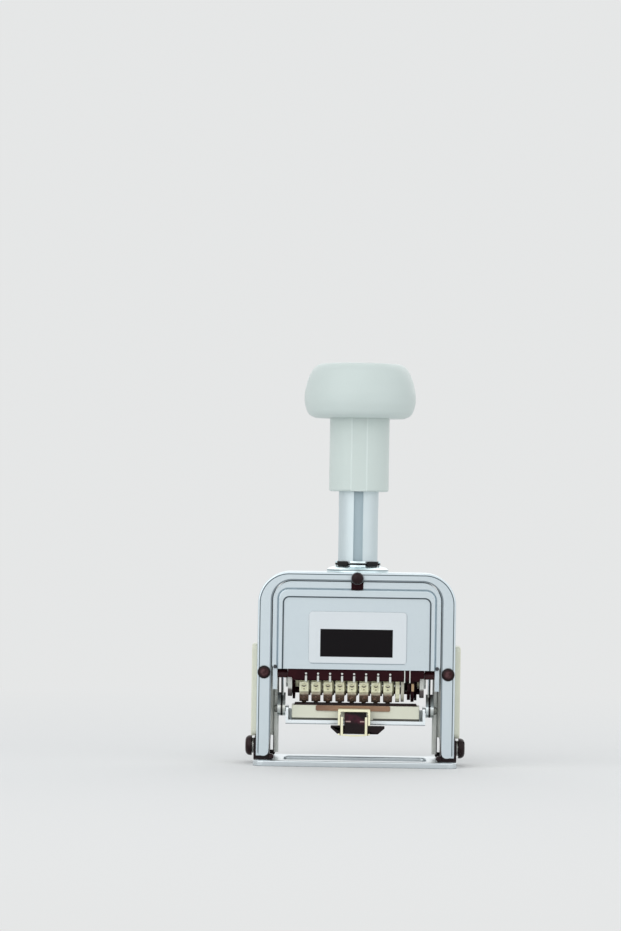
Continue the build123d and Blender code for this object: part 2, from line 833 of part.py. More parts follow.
panel_height = cover_top - cover_bottom - panel_top_inset
cover_tall = cover_top - cover_bottom
rim_tall = cover_tall - rim_inset
for turn, name in ((-1, "front"), (1, "rear")):
    # every depth is counted from the middle outwards, to -Y in front and +Y behind
    with BuildPart() as cover:
        with BuildSketch(front(turn * cover_back)):
            with Locations((0, cover_bottom + cover_tall / 2)):
                Rectangle(2 * cover_half, cover_tall)
            fillet(vertices().group_by(Axis.Y)[-1], opening_radius - slide_gap)
            fillet(vertices().group_by(Axis.Y)[0], cover_foot_radius)
        extrude(amount=-turn * cover_thick)
        with BuildSketch(front(turn * cover_face)):
            with Locations((0, cover_bottom + rim_tall / 2)):
                Rectangle(2 * (cover_half - rim_side_inset), rim_tall)
            fillet(vertices().group_by(Axis.Y)[-1], rim_radius)
        extrude(amount=-turn * rim_rise)
        crest = faces().sort_by(Axis.Y)[0 if turn < 0 else -1]
        chamfer(crest.edges().filter_by(lambda e: e.center().Z > cover_bottom + loose), rim_bevel)
        # the sunk panel runs out at the lower edge
        with BuildSketch(front(turn * panel_face)):
            with Locations((0, cover_bottom + panel_height / 2 - panel_radius)):
                Rectangle(panel_width, panel_height + 2 * panel_radius)
            fillet(vertices().group_by(Axis.Y)[-1], panel_radius)
        extrude(amount=-turn * (panel_sink + overcut), mode=Mode.SUBTRACT)
        # a shallow pocket behind lightens the cover
        with BuildSketch(front(turn * cover_back)):
            with Locations((0, cover_bottom + cover_tall / 2)):
                Rectangle(2 * pocket_half, cover_tall - 2 * pocket_frame)
        extrude(amount=-turn * pocket_depth, mode=Mode.SUBTRACT)
        if turn < 0:
            # notch that clears the lock button when the housing is up
            with BuildSketch(front(-cover_back)):
                with Locations((0, cover_top - notch_height / 2)):
                    Trapezoid(notch_width, notch_height + run_gap, notch_lean, rotation=180)
            extrude(amount=cover_thick + rim_rise + overcut, mode=Mode.SUBTRACT)
        else:
            for z in lug_heights:
                for hand in (1, -1):
                    with BuildSketch(front(cover_crest)):
                        with Locations((hand * lug_x, z)):
                            Circle(cover_screw_shank + press_gap)
                    extrude(amount=cover_crest - cover_back, mode=Mode.SUBTRACT)
                    with BuildSketch(front(cover_crest)):
                        with Locations((hand * lug_x, z)):
                            Circle(cover_screw_radius + 2 * loose)
                    extrude(amount=cover_crest - panel_face, mode=Mode.SUBTRACT)
    save(cover, f"{name}_cover")

with BuildPart() as label_plate:
    with BuildSketch(front(-panel_face)):
        with Locations((label_offset, cover_bottom + label_inset + label_height / 2)):
            RectangleRounded(label_width, label_height, label_radius)
    extrude(amount=label_thick)
    fillet(faces().sort_by(Axis.Y)[0].edges(), label_soft)
save(label_plate, "label_plate")

with BuildPart() as cover_screws:
    for z in lug_heights:
        for hand in (1, -1):
            with BuildSketch(front(panel_face)):
                with Locations((hand * lug_x, z)):
                    Circle(cover_screw_radius)
            extrude(amount=-cover_screw_rise)
            with BuildSketch(front(panel_face)):
                with Locations((hand * lug_x, z)):
                    Circle(cover_screw_shank)
            extrude(amount=panel_face - cover_back + cover_screw_rise)
    round_rims("Y", panel_face + cover_screw_rise, cover_screw_rise * dome)
    for z in lug_heights:
        for hand in (1, -1):
            with BuildSketch(front(panel_face + cover_screw_rise)):
                with Locations((hand * lug_x, z)):
                    Rectangle(2 * cover_screw_radius, cover_slot, rotation=35)
            extrude(amount=cover_slot / 2, mode=Mode.SUBTRACT)
save(cover_screws, "cover_screws")

# wheel plates, shaft and tie rods
plate_half = plate_depth / 2
tie_z = wheel_z + tie_rise
for hand, name in ((-1, "left"), (1, "right")):
    with BuildPart() as wheel_plate:
        with BuildSketch(side(hand * plate_face)):
            with Locations((0, (wheel_z - plate_foot + housing_under) / 2)):
                Rectangle(plate_depth, housing_under - wheel_z + plate_foot)
            fillet(vertices().group_by(Axis.Y)[0], plate_corner)
            with Locations((0, wheel_z)):
                Circle(shaft_radius + press_gap, mode=Mode.SUBTRACT)
            with Locations((pivot_back, pivot_z)):
                Circle(stud_pin + press_gap, mode=Mode.SUBTRACT)
            with Locations((-tie_spacing / 2, tie_z), (tie_spacing / 2, tie_z)):
                Circle(tie_radius + press_gap, mode=Mode.SUBTRACT)
        extrude(amount=hand * plate_wall)
    save(wheel_plate, f"{name}_wheel_plate")

with BuildPart() as tie_rods:
    for y in (-tie_spacing / 2, tie_spacing / 2):
        with Locations(across(0, y, tie_z)):
            Cylinder(tie_radius, 2 * plate_outer)
        for hand in (1, -1):
            with Locations(across(hand * plate_outer, y, tie_z, hand)):
                Cylinder(tie_head, tie_head_thick, align=upright)
save(tie_rods, "tie_rods")

with BuildPart() as wheel_shaft:
    with Locations(across(0, 0, wheel_z)):
        Cylinder(shaft_radius, 2 * (plate_outer + shaft_nut_thick))
    chamfer(edges().filter_by(GeomType.CIRCLE), slide_gap)
save(wheel_shaft, "wheel_shaft")

with BuildPart() as shaft_nuts:
    for hand in (1, -1):
        with BuildSketch(across(hand * plate_outer, 0, wheel_z, hand)):
            RegularPolygon(shaft_nut_width / 2, 6, major_radius=False)
            Circle(shaft_radius + press_gap, mode=Mode.SUBTRACT)
        extrude(amount=shaft_nut_thick)
save(shaft_nuts, "shaft_nuts")

yoke_left = -plate_face + yoke_gap
yoke_right = selector_end + yoke_gap
with BuildPart() as shaft_spacers:
    for start, end in (
        (yoke_left + yoke_wall + loose, wheel_left - loose),
        (yoke_right + yoke_wall + loose, plate_face),
    ):
        with BuildSketch(side(start)):
            with Locations((0, wheel_z)):
                Circle(spacer_radius)
                Circle(shaft_radius + press_gap, mode=Mode.SUBTRACT)
        extrude(amount=end - start)
save(shaft_spacers, "shaft_spacers")

with BuildPart() as pivot_studs:
    for hand in (1, -1):
        with Locations(across(hand * plate_face, pivot_back, pivot_z, hand)):
            Cylinder(
                stud_pin,
                cheek_outer - plate_face,
                align=upright,
            )
save(pivot_studs, "pivot_studs")

# number wheels
step = 360 / digits


def saw_teeth(tip, root, count):
    """Corners of a ratchet ring: each tooth has one steep flank and one long one."""
    corners = []
    for n in range(count):
        angle = 360 / count * n
        for radius, at in ((tip, angle), (root, angle + tooth_lean)):
            corners.append((radius * cos(radians(at)), radius * sin(radians(at))))
    return corners


block_root = drum_radius * cos(radians(step / 2)) - block_bury
for k, x in enumerate(wheel_x):
    with BuildPart() as digit_wheel:
        with BuildSketch(side(x - wheel_width / 2)):
            with Locations((0, wheel_z)):
                Circle(drum_radius)
                with PolarLocations(0, digits, start_angle=-90):
                    Polygon(
                        (block_root, -block_base / 2),
                        (drum_radius + block_foot, -block_base / 2),
                        (block_radius, -block_face / 2),
                        (block_radius, block_face / 2),
                        (drum_radius + block_foot, block_base / 2),
                        (block_root, block_base / 2),
                        align=None,
                    )
        extrude(amount=wheel_width)
        # the ratchet ring on the right flank, one tooth to each figure
        with BuildSketch(side(x + wheel_width / 2)):
            with Locations((0, wheel_z)):
                Polygon(*saw_teeth(ratchet_radius, ratchet_root, digits), align=None)
        extrude(amount=ratchet_width)
        with Locations(across(x, 0, wheel_z)):
            Cylinder(shaft_radius + run_gap, 2 * (wheel_width + overcut), mode=Mode.SUBTRACT)
    save(digit_wheel, f"digit_wheel_{k + 1}")

with BuildPart() as drive_ratchet:
    with BuildSketch(side(drive_start)):
        with Locations((0, wheel_z)):
            Polygon(*saw_teeth(drive_radius, drive_radius - tooth_depth, drive_teeth), align=None)
            Circle(shaft_radius + run_gap, mode=Mode.SUBTRACT)
    extrude(amount=drive_width)
save(drive_ratchet, "drive_ratchet")

with BuildPart() as repeat_selector:
    with BuildSketch(side(selector_start)):
        with Locations((0, wheel_z)):
            Circle(selector_hub)
    extrude(amount=selector_length)
    for start, radius, count in (
        (selector_start, selector_radius, 0),
        (selector_start + 2 * selector_flange, selector_disc, digits),
        (selector_end - selector_flange, selector_radius, 0),
    ):
        with BuildSketch(side(start)):
            with Locations((0, wheel_z)):
                Circle(radius)
                if count:
                    with PolarLocations(radius, count):
                        Rectangle(selector_notch, selector_notch, mode=Mode.SUBTRACT)
        extrude(amount=selector_flange)
    with Locations(across(selector_start, 0, wheel_z)):
        Cylinder(shaft_radius + run_gap, 2 * (selector_length + overcut), mode=Mode.SUBTRACT)
save(repeat_selector, "repeat_selector")

# pawl yoke, behind the wheels
bar_z = wheel_z - yoke_drop
with BuildPart() as pawl_yoke:
    for x in (yoke_left, yoke_right):
        with BuildSketch(side(x)):
            with Locations((0, wheel_z)):
                Circle(yoke_boss)
            with Locations((yoke_reach, bar_z)):
                Circle(yoke_bar)
            with Locations((yoke_heel, wheel_z - yoke_heel_drop)):
                Circle(yoke_bar)
            make_hull()
            with Locations((0, wheel_z)):
                Circle(shaft_radius + run_gap, mode=Mode.SUBTRACT)
        extrude(amount=yoke_wall)
    with BuildSketch(side(-plate_outer)):
        with Locations((yoke_reach, bar_z)):
            Circle(yoke_bar)
    extrude(amount=2 * plate_outer)
save(pawl_yoke, "pawl_yoke")

pawl_tip = ratchet_radius + pawl_gap
pawl_root = bar_radius - pawl_gap
pawl_dir = Vector(yoke_reach, -yoke_drop).normalized()
pawl_side = Vector(yoke_drop, yoke_reach).normalized()
pawl_shape = (  # distance from the wheel axis, and sideways from the middle line
    (pawl_root, pawl_half),
    (pawl_tip + pawl_hook, pawl_half),
    (pawl_tip, -pawl_gap),
    (pawl_tip + pawl_half, -pawl_half),
    (pawl_root, -pawl_half),
)
with BuildPart() as pawl_comb:
    for x in wheel_x:
        pawl_x = x + wheel_width / 2 + (wheel_pitch - wheel_width - pawl_wall) / 2
        with BuildSketch(side(pawl_x)):
            with BuildLine():
                hub_centre = Vector(0, wheel_z)
                corners = [hub_centre + pawl_dir * out + pawl_side * up for out, up in pawl_shape]
                Polyline(*corners, close=True)
            make_face()
            with Locations((yoke_reach, bar_z)):
                Circle(yoke_bar, mode=Mode.SUBTRACT)
        extrude(amount=pawl_wall)
save(pawl_comb, "pawl_comb")

# detent bar, in front of the wheels
bar_bottom = wheel_z
bar_top = bar_bottom + bar_height
with BuildPart() as detent_bar:
    with BuildSketch(side(-plate_face)):
        with BuildLine():
            Polyline(
                (-bar_front, bar_bottom + edge_soft),
                (-bar_front, bar_top),
                (-bar_front + bar_depth, bar_top),
                (-bar_front + bar_depth, bar_bottom),
                (-bar_front + edge_soft, bar_bottom),
                close=True,
            )
        make_face()
    extrude(amount=2 * plate_face)
    # end tabs run back to the wheel plates, above the arm studs
    for hand in (1, -1):
        with BuildSketch(side(hand * plate_face)):
            with Locations((-(bar_front + plate_half) / 2, bar_top - bar_tab / 2)):
                Rectangle(bar_front - plate_half, bar_tab)
        extrude(amount=hand * plate_wall)
save(detent_bar, "detent_bar")

finger_low = bar_bottom - loose
short_fingers = [(x + finger_offset, finger_width, finger_height) for x in wheel_x]
long_fingers = [(selector_start + place, long_finger_width, bar_height) for place in long_finger_places]
with BuildPart() as detent_fingers:
    for x, width, height in short_fingers + long_fingers:
        with BuildSketch(side(x - width / 2)):
            with BuildLine():
                Polyline(
                    (-bar_front, bar_bottom + height),
                    (-bar_front - finger_thick, bar_bottom + height),
                    (-bar_front - finger_thick, finger_low - finger_thick),
                    (-type_radius - slide_gap, finger_low - finger_thick),
                    (-type_radius - slide_gap, finger_low),
                    (-bar_front, finger_low),
                    close=True,
                )
            make_face()
        extrude(amount=width)
    # a rivet above each short finger
    with BuildSketch(front(-bar_front)):
        with Locations([(x + finger_offset, bar_bottom + dot_height) for x in wheel_x]):
            Circle(dot_radius)
    extrude(amount=finger_thick)
save(detent_fingers, "detent_fingers")

# swinging ink arms and carrier
rivet_y = pivot_back + rivet_step
rivet_z = pivot_z - rivet_drop
foot_round = arm_length - rivet_drop
tang_radius = bush_radius - edge_soft
# joints of the cranked arm: place and half width
arm_nodes = (
    (pivot_back, pivot_z, tang_radius),
    (pivot_back + arm_crank, pivot_z - arm_knee, arm_half),
    (pivot_back + arm_crank_low, pivot_z - arm_shin, arm_half),
    (rivet_y, rivet_z, foot_round),
)
for hand, name in ((-1, "left"), (1, "right")):
    with BuildPart() as ink_arm:
        for near, far in zip(arm_nodes, arm_nodes[1:]):
            with BuildSketch(side(hand * arm_plate)):
                for y, z, radius in (near, far):
                    with Locations((y, z)):
                        Circle(radius)
                make_hull()
            extrude(amount=hand * arm_wall)
        with BuildSketch(side(hand * arm_cheek)):
            for y, z, radius in arm_nodes[-2:]:
                with Locations((y, z)):
                    Circle(radius)
            make_hull()
        extrude(amount=hand * arm_cheek_wall)
        for place, radius in (
            ((0, pivot_back, pivot_z), stud_pin + run_gap),
            ((0, rivet_y, rivet_z), rivet_shank + press_gap),
        ):
            with Locations(Plane(place, z_dir=(1, 0, 0))):
                Cylinder(radius, 2 * half_width, mode=Mode.SUBTRACT)
    save(ink_arm, f"{name}_ink_arm")

bush_inner = plate_outer + 2 * loose
bush_outer = cheek_inner - loose
with BuildPart() as arm_bushes:
    for hand in (1, -1):
        with BuildSketch(side(hand * bush_inner)):
            with Locations((pivot_back, pivot_z)):
                Circle(bush_radius)
                Circle(stud_pin + run_gap, mode=Mode.SUBTRACT)
        extrude(amount=hand * (bush_outer - bush_inner))
        # the arm's tang is moulded into the bush
        with BuildSketch(side(hand * arm_plate)):
            for y, z, radius in arm_nodes[:2]:
                with Locations((y, z)):
                    Circle(radius)
            make_hull()
        extrude(amount=hand * arm_wall, mode=Mode.SUBTRACT)
save(arm_bushes, "arm_bushes")

carrier_back = carrier_front + carrier_depth
wall_top = carrier_bottom + carrier_height
with BuildPart() as ink_carrier:
    with BuildSketch(side(-carrier_half)):
        with BuildLine():
            Polyline(
                (carrier_front - lip_depth, carrier_bottom),
                (carrier_front - lip_depth, carrier_bottom + lip_height),
                (carrier_front, carrier_bottom + lip_height),
                (carrier_front, carrier_bottom + carrier_floor),
                (carrier_back - carrier_wall, carrier_bottom + carrier_floor),
                (carrier_back - carrier_wall, wall_top - carrier_step),
                (carrier_back, wall_top - carrier_step),
                (carrier_back, carrier_bottom),
                close=True,
            )
        make_face()
    extrude(amount=2 * carrier_half)
    fillet(edges().filter_by(Axis.X).group_by(Axis.Z)[0], edge_soft)
    for hand in (1, -1):
        with BuildSketch(side(hand * (carrier_half - carrier_wall))):
            with Locations(((carrier_front + carrier_back) / 2, (carrier_bottom + wall_top) / 2)):
                Rectangle(carrier_depth, carrier_height)
            fillet(vertices().group_by(Axis.Y)[-1], carrier_corner)
        extrude(amount=hand * carrier_wall)
        # two runners hold the cassette off the floor
        with BuildSketch(Plane.XY.offset(carrier_bottom + carrier_floor)):
            with Locations((hand * (case_width / 2 - runner_inset), (carrier_front + carrier_back) / 2)):
                Rectangle(runner_width, carrier_depth - 2 * carrier_wall - edge_soft)
        extrude(amount=case_bottom - carrier_bottom - carrier_floor)
    with Locations(across(0, rivet_y, rivet_z)):
        Cylinder(rivet_shank + press_gap, 2 * half_width, mode=Mode.SUBTRACT)
save(ink_carrier, "ink_carrier")

with BuildPart() as arm_rivets:
    for hand in (1, -1):
        for start, length, radius in (
            (carrier_half - carrier_wall - rivet_inner, rivet_inner, rivet_head - 2 * loose),
            (carrier_half - carrier_wall, carrier_wall, rivet_shank),
            (carrier_half, arm_cheek - carrier_half, rivet_head - loose),
            (arm_cheek, arm_cheek_wall, rivet_shank),
            (arm_cheek + arm_cheek_wall, rivet_outer, rivet_head),
        ):
            with BuildSketch(side(hand * start)):
                with Locations((rivet_y, rivet_z)):
                    Circle(radius)
            extrude(amount=hand * length)
    round_rims("X", arm_cheek + arm_cheek_wall + rivet_outer, rivet_outer * dome)
save(arm_rivets, "arm_rivets")

# ink cassette
case_back = carrier_back - carrier_wall - case_back_gap
case_top = case_bottom + case_height
case_depth = case_back + case_front
case_mid = (case_back - case_front) / 2
with BuildPart() as ink_case:
    with BuildSketch(Plane.XY.offset(case_bottom)):
        with Locations((0, case_mid)):
            RectangleRounded(case_width, case_depth, edge_soft)
    extrude(amount=case_height)
    with BuildSketch(Plane.XY.offset(case_bottom + case_wall)):
        with Locations((0, case_mid)):
            Rectangle(case_width - 2 * case_wall, case_depth - 2 * case_wall)
    extrude(amount=case_height, mode=Mode.SUBTRACT)
save(ink_case, "ink_case")

with BuildPart() as ink_pad:
    with BuildSketch(Plane.XY.offset(case_bottom + case_wall)):
        with Locations((0, case_mid)):
            Rectangle(case_width - 2 * case_wall - pad_side, case_depth - 2 * case_wall - pad_side)
    extrude(amount=case_height - case_wall + pad_proud)
    fillet(edges().group_by(Axis.Z)[-1], slide_gap)
save(ink_pad, "ink_pad")

with BuildPart() as clip_strip:
    with BuildSketch(front(-case_front)):
        with Locations((clip_offset, case_top - clip_height / 2)):
            RectangleRounded(clip_width, clip_height, edge_soft)
    extrude(amount=clip_thick)
save(clip_strip, "clip_strip")

tab_top = case_top - clip_height - loose
tab_low = carrier_bottom - tab_thick
wing_top = carrier_bottom - 2 * loose
tab_front = case_front + staple_reach - staple_thick - 2 * loose
tab_step = -carrier_front + lip_depth + 2 * loose
tab_under = carrier_bottom + lip_height + edge_soft
with BuildPart() as pull_tab:
    # body: seated on the case above the lip, stepping over it and down
    with BuildSketch(side(-tab_body / 2)):
        with BuildLine():
            Polyline(
                (-case_front, tab_under),
                (-tab_step, tab_under),
                (-tab_step, tab_low + edge_soft),
                (-tab_front, tab_low + edge_soft),
                (-tab_front, tab_top),
                (-case_front, tab_top),
                close=True,
            )
        make_face()
    extrude(amount=tab_body)
    # thumb wings, seen from the front like a shallow boat
    with BuildSketch(front(-tab_step - tab_inset)):
        with BuildLine():
            Polyline(
                (tab_offset - tab_head / 2, wing_top),
                (tab_offset + tab_head / 2, wing_top),
                (tab_offset + tab_head / 2, wing_top - tab_corner),
                (tab_offset + tab_head / 2 - tab_lean, tab_low),
                (tab_offset - tab_head / 2 + tab_lean, tab_low),
                (tab_offset - tab_head / 2, wing_top - tab_corner),
                close=True,
            )
        make_face()
        fillet(vertices(), tab_soft)
    extrude(amount=tab_front - tab_step - 2 * tab_inset)
save(pull_tab, "pull_tab")

staple_top = case_top - clip_height
staple_front = case_front + staple_reach
inner_top = tab_low + staple_inner
strap_start = case_front + clip_thick
staple_half = staple_width / 2
with BuildPart() as latch_bracket:
    # flat strap from the case out over the tab
    with BuildSketch(Plane.XY.offset(staple_top)):
        with Locations((staple_offset, -(strap_start + staple_front) / 2)):
            Rectangle(staple_width, staple_front - strap_start)
    extrude(amount=staple_wire)
    # two outer legs, two inner ones and the bar that joins them under the tab
    with BuildSketch(front(-staple_front + staple_thick)):
        for leg_out, low, high in (
            (staple_half, carrier_bottom, staple_top),
            (staple_half - staple_wire, tab_low, inner_top),
        ):
            for hand in (1, -1):
                leg_x = staple_offset + hand * (leg_out - staple_wire / 2)
                with Locations((leg_x, (low + high) / 2)):
                    Rectangle(staple_wire, high - low)
        with BuildLine():
            arcs = [
                ThreePointArc(
                    (staple_offset - staple_half, tab_low + rise),
                    (staple_offset, tab_low + rise - staple_sag),
                    (staple_offset + staple_half, tab_low + rise),
                )
                for rise in (staple_foot / 2, -staple_foot / 2)
            ]
            for end in (0, 1):
                Line(arcs[0] @ end, arcs[1] @ end)
        make_face()
    extrude(amount=staple_thick)
    shoulders = edges().filter_by(Axis.Y).group_by(Axis.Z)[-1]
    fillet(shoulders, edge_soft)
save(latch_bracket, "latch_bracket")

# lock button
lock_face = half_depth + lock_stand
with BuildPart() as lock_button:
    with BuildSketch(Plane((0, -lock_tip, lock_z), z_dir=(0, -1, 0))):
        Circle(lock_radius)
    extrude(amount=lock_face - lock_tip)
    with BuildSketch(Plane((0, -lock_face, lock_z), z_dir=(0, -1, 0))):
        Circle(lock_head)
    extrude(amount=lock_dome)
    round_rims("Y", lock_face + lock_dome, lock_dome * dome)
save(lock_button, "lock_button")

with BuildPart() as lock_spring:
    with BuildLine() as coil_line:
        Helix(
            pitch=(lock_stand - 2 * lock_wire) / lock_turns,
            height=lock_stand - 2 * lock_wire,
            radius=lock_coil,
            center=(0, -half_depth - lock_wire, lock_z),
            direction=(0, -1, 0),
        )
    with BuildSketch(Plane(origin=coil_line.line @ 0, z_dir=coil_line.line % 0)):
        RegularPolygon(lock_wire / 2, 6)
    sweep(is_frenet=True)
save(lock_spring, "lock_spring")
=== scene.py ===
import bpy
import json
import math
from mathutils import Vector, Matrix, Euler


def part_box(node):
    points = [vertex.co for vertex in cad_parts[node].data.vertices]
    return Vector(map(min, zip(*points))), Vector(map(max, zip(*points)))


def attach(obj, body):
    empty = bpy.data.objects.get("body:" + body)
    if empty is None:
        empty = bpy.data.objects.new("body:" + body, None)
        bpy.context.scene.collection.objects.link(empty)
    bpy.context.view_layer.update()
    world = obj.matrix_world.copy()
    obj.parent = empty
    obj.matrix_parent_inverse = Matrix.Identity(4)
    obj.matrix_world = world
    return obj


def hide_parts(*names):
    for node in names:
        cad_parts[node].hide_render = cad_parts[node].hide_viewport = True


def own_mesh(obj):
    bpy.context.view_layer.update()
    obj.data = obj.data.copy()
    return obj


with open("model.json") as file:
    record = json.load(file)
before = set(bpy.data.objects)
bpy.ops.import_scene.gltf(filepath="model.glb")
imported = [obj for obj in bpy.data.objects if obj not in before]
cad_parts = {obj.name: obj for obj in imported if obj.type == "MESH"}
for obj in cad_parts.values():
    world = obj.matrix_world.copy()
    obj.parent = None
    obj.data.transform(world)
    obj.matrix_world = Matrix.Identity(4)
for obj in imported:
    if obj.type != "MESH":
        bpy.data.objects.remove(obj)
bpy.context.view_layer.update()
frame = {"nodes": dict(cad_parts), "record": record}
mm = 0.001
slotOf = {entry["node"]: entry["material_slot"] for entry in frame["record"]["subparts"]}
bodyOf = {node: body for body, members in frame["record"]["behaviour"]["bodies"].items() for node in members}


def deselectAll():
    if bpy.context.object and bpy.context.object.mode != "OBJECT":
        bpy.ops.object.mode_set(mode="OBJECT")
    bpy.ops.object.select_all(action="DESELECT")


def makeActive(piece):
    deselectAll()
    piece.select_set(True)
    bpy.context.view_layer.objects.active = piece


def applyPlace(piece):
    makeActive(piece)
    bpy.ops.object.transform_apply(location=True, rotation=True, scale=True)


def mergePoints(piece, within, outwards=False):
    makeActive(piece)
    bpy.ops.object.mode_set(mode="EDIT")
    bpy.ops.mesh.select_all(action="SELECT")
    bpy.ops.mesh.remove_doubles(threshold=within)
    if outwards:
        bpy.ops.mesh.normals_make_consistent(inside=False)
    bpy.ops.object.mode_set(mode="OBJECT")


def joinPieces(pieces, name):
    deselectAll()
    for piece in pieces:
        piece.select_set(True)
    bpy.context.view_layer.objects.active = pieces[0]
    if len(pieces) > 1:
        bpy.ops.object.join()
    joined = bpy.context.object
    joined.name = name
    makeActive(joined)
    return joined


def smoothUnder(degrees):
    bpy.ops.object.shade_smooth_by_angle(angle=math.radians(degrees))


class Socket:
    # a shader value, on which Python's own signs add Math nodes
    def __init__(self, tree, link):
        self.tree = tree
        self.link = link

    def maths(self, operation, *others, clamp=False):
        node = self.tree.nodes.new("ShaderNodeMath")
        node.operation = operation
        node.use_clamp = clamp
        for place, value in enumerate((self, *others)):
            if isinstance(value, Socket):
                self.tree.links.new(value.link, node.inputs[place])
            else:
                node.inputs[place].default_value = value
        return Socket(self.tree, node.outputs[0])

    def __add__(self, other):
        return self.maths("ADD", other)

    def __sub__(self, other):
        return self.maths("SUBTRACT", other)

    def __mul__(self, other):
        return self.maths("MULTIPLY", other)

    def __rsub__(self, other):
        return self.maths("MULTIPLY_ADD", -1.0, other)

    def step(self, low, high):
        # 0 at low and below, 1 at high and above
        return ((self - low) * (1.0 / (high - low))).maths("ADD", 0.0, clamp=True)


class Tree:
    def __init__(self, tree):
        self.tree = tree

    def feed(self, target, value):
        if isinstance(value, Socket):
            value = value.link
        if isinstance(value, bpy.types.NodeSocket):
            self.tree.links.new(value, target)
        else:
            target.default_value = value

    def node(self, kind, settings=None, **values):
        # a socket is given by its name, or by its number as i0, i1 and so on
        made = self.tree.nodes.new(kind)
        for setting, value in (settings or {}).items():
            setattr(made, setting, value)
        for socket, value in values.items():
            numbered = socket[0] == "i" and socket[1:].isdigit()
            self.feed(made.inputs[int(socket[1:]) if numbered else socket], value)
        return made


class Finish(Tree):
    def __init__(self, name):
        self.material = bpy.data.materials.new(name)
        self.material.use_nodes = True
        super().__init__(self.material.node_tree)
        self.shader = self.tree.nodes["Principled BSDF"]
        self.place = self.node("ShaderNodeTexCoord").outputs["Object"]

    def noise(self, scale, detail=3.0, stretch=(1, 1, 1), rough=0.5):
        point = self.node("ShaderNodeMapping", Vector=self.place, Scale=stretch).outputs[0]
        made = self.node("ShaderNodeTexNoise", Vector=point, Scale=scale, Detail=detail, Roughness=rough)
        return Socket(self.tree, made.outputs["Fac"])

    def mix(self, mask, first, second):
        made = self.node("ShaderNodeMix", {"data_type": "RGBA"}, i0=mask, i6=first, i7=second)
        return made.outputs[2]

    def part(self, axis):
        split = self.node("ShaderNodeSeparateXYZ", Vector=self.place)
        return Socket(self.tree, split.outputs[axis])

    def eitherWay(self, axis):
        # how far from the middle, to both sides alike
        return self.part(axis).maths("ABSOLUTE")

    def set(self, **values):
        for socket, value in values.items():
            self.feed(self.shader.inputs[socket.replace("_", " ")], value)

    def bump(self, height, depth):
        made = self.node("ShaderNodeBump", Height=height, Distance=depth, Strength=1.0)
        self.tree.links.new(made.outputs[0], self.shader.inputs["Normal"])


def fromScreen(colour):
    # a colour as seen on screen, turned into the linear values that the shader takes
    linear = [c / 12.92 if c <= 0.04045 else ((c + 0.055) / 1.055) ** 2.4 for c in colour]
    return (*linear, 1.0)


def rise(place, low, high, start=0.0):
    # 0 at the low place and 1 at the high one, both in millimetres from the start, which is in metres
    return place.step(start + low * mm, start + high * mm)


def band(place, low, high, soft=0.05):
    # 1 between two places, with a soft edge, all in millimetres
    return rise(place, low - soft, low) * (1 - rise(place, high, high + soft))


def radial(across, above):
    return (across * across + above * above).maths("SQRT")


def archLine(finish, arch, line):
    # a line at a depth inside an arched outline
    half, top, radius = arch
    out = (finish.eitherWay("X") - (half - radius) * mm).maths("MAXIMUM", 0.0)
    up = (finish.part("Z") - (top - radius) * mm).maths("MAXIMUM", 0.0)
    return band(radius * mm - radial(out, up), *line)


def painted(mask, paint):
    amount, colour = paint
    return (mask if amount == 1 else mask * amount, colour)


def patches(finish, facts):
    return finish.noise(facts["patchScale"], facts["patchDetail"]).step(*facts["patch"])


# marks on the finishes, in millimetres: a line is its start, its end and how soft it is, an arch is half its
# width, its top and its corner's radius, and a paint is how strongly it covers and its colour
# painted shade: dark lines along the frame's outer edge and along its inner fold, on its front and back
frameShadeLines = {
    "front": (14.5, 14.8),
    "edgeArch": (38.0, 74.3, 12.0), "edgeLine": (0.72, 0.98, 0.08), "outerEdgeShadePaint": (0.9, (0.20, 0.27, 0.31)),
    "foldArch": (32.6, 71.0, 7.6), "foldLine": (-0.5, -0.05, 0.1), "foldShadePaint": (0.7, (0.22, 0.28, 0.32)),
}


def frameMarks(finish):
    front = rise(finish.eitherWay("Y"), *frameShadeLines["front"])
    edge = archLine(finish, frameShadeLines["edgeArch"], frameShadeLines["edgeLine"]) * front
    fold = archLine(finish, frameShadeLines["foldArch"], frameShadeLines["foldLine"]) * front
    return [painted(edge, frameShadeLines["outerEdgeShadePaint"]), painted(fold, frameShadeLines["foldShadePaint"])]


# painted shade: a dark line along the top of the recessed panel, a fainter one along the rim, and dark dots
# at the cover's lower corners
coverShadeLines = {
    "panelArch": (28.2, 64.6, 2.2), "panelLine": (-0.32, 0.1, 0.12), "panelPaint": (0.92, (0.16, 0.21, 0.25)),
    "rimArch": (30.5, 68.0, 4.2), "rimLine": (-0.2, 0.12, 0.12), "rimPaint": (0.5, (0.42, 0.50, 0.55)),
    "cornerShadeAside": 31.1, "cornerShadeHeight": 37.8, "cornerShadeEdge": (0.65, 0.85), "cornerShadePaint": (0.9, (0.12, 0.09, 0.11)),
}


def coverMarks(finish):
    panel = archLine(finish, coverShadeLines["panelArch"], coverShadeLines["panelLine"])
    rim = archLine(finish, coverShadeLines["rimArch"], coverShadeLines["rimLine"])
    aside = finish.eitherWay("X") - coverShadeLines["cornerShadeAside"] * mm
    above = finish.part("Z") - coverShadeLines["cornerShadeHeight"] * mm
    cornerShadeDots = 1 - rise(radial(aside, above), *coverShadeLines["cornerShadeEdge"])
    return [painted(panel, coverShadeLines["panelPaint"]), painted(rim, coverShadeLines["rimPaint"]),
            painted(cornerShadeDots, coverShadeLines["cornerShadePaint"])]


# painted shade: two dark lines round the hub collar
hubShadeLines = {"grooveShade": (77.15, 77.85), "grooveShadePaint": (1, (0.03, 0.05, 0.06)),
            "seamShade": (74.9, 75.25), "seamShadePaint": (0.8, (0.2, 0.26, 0.3))}


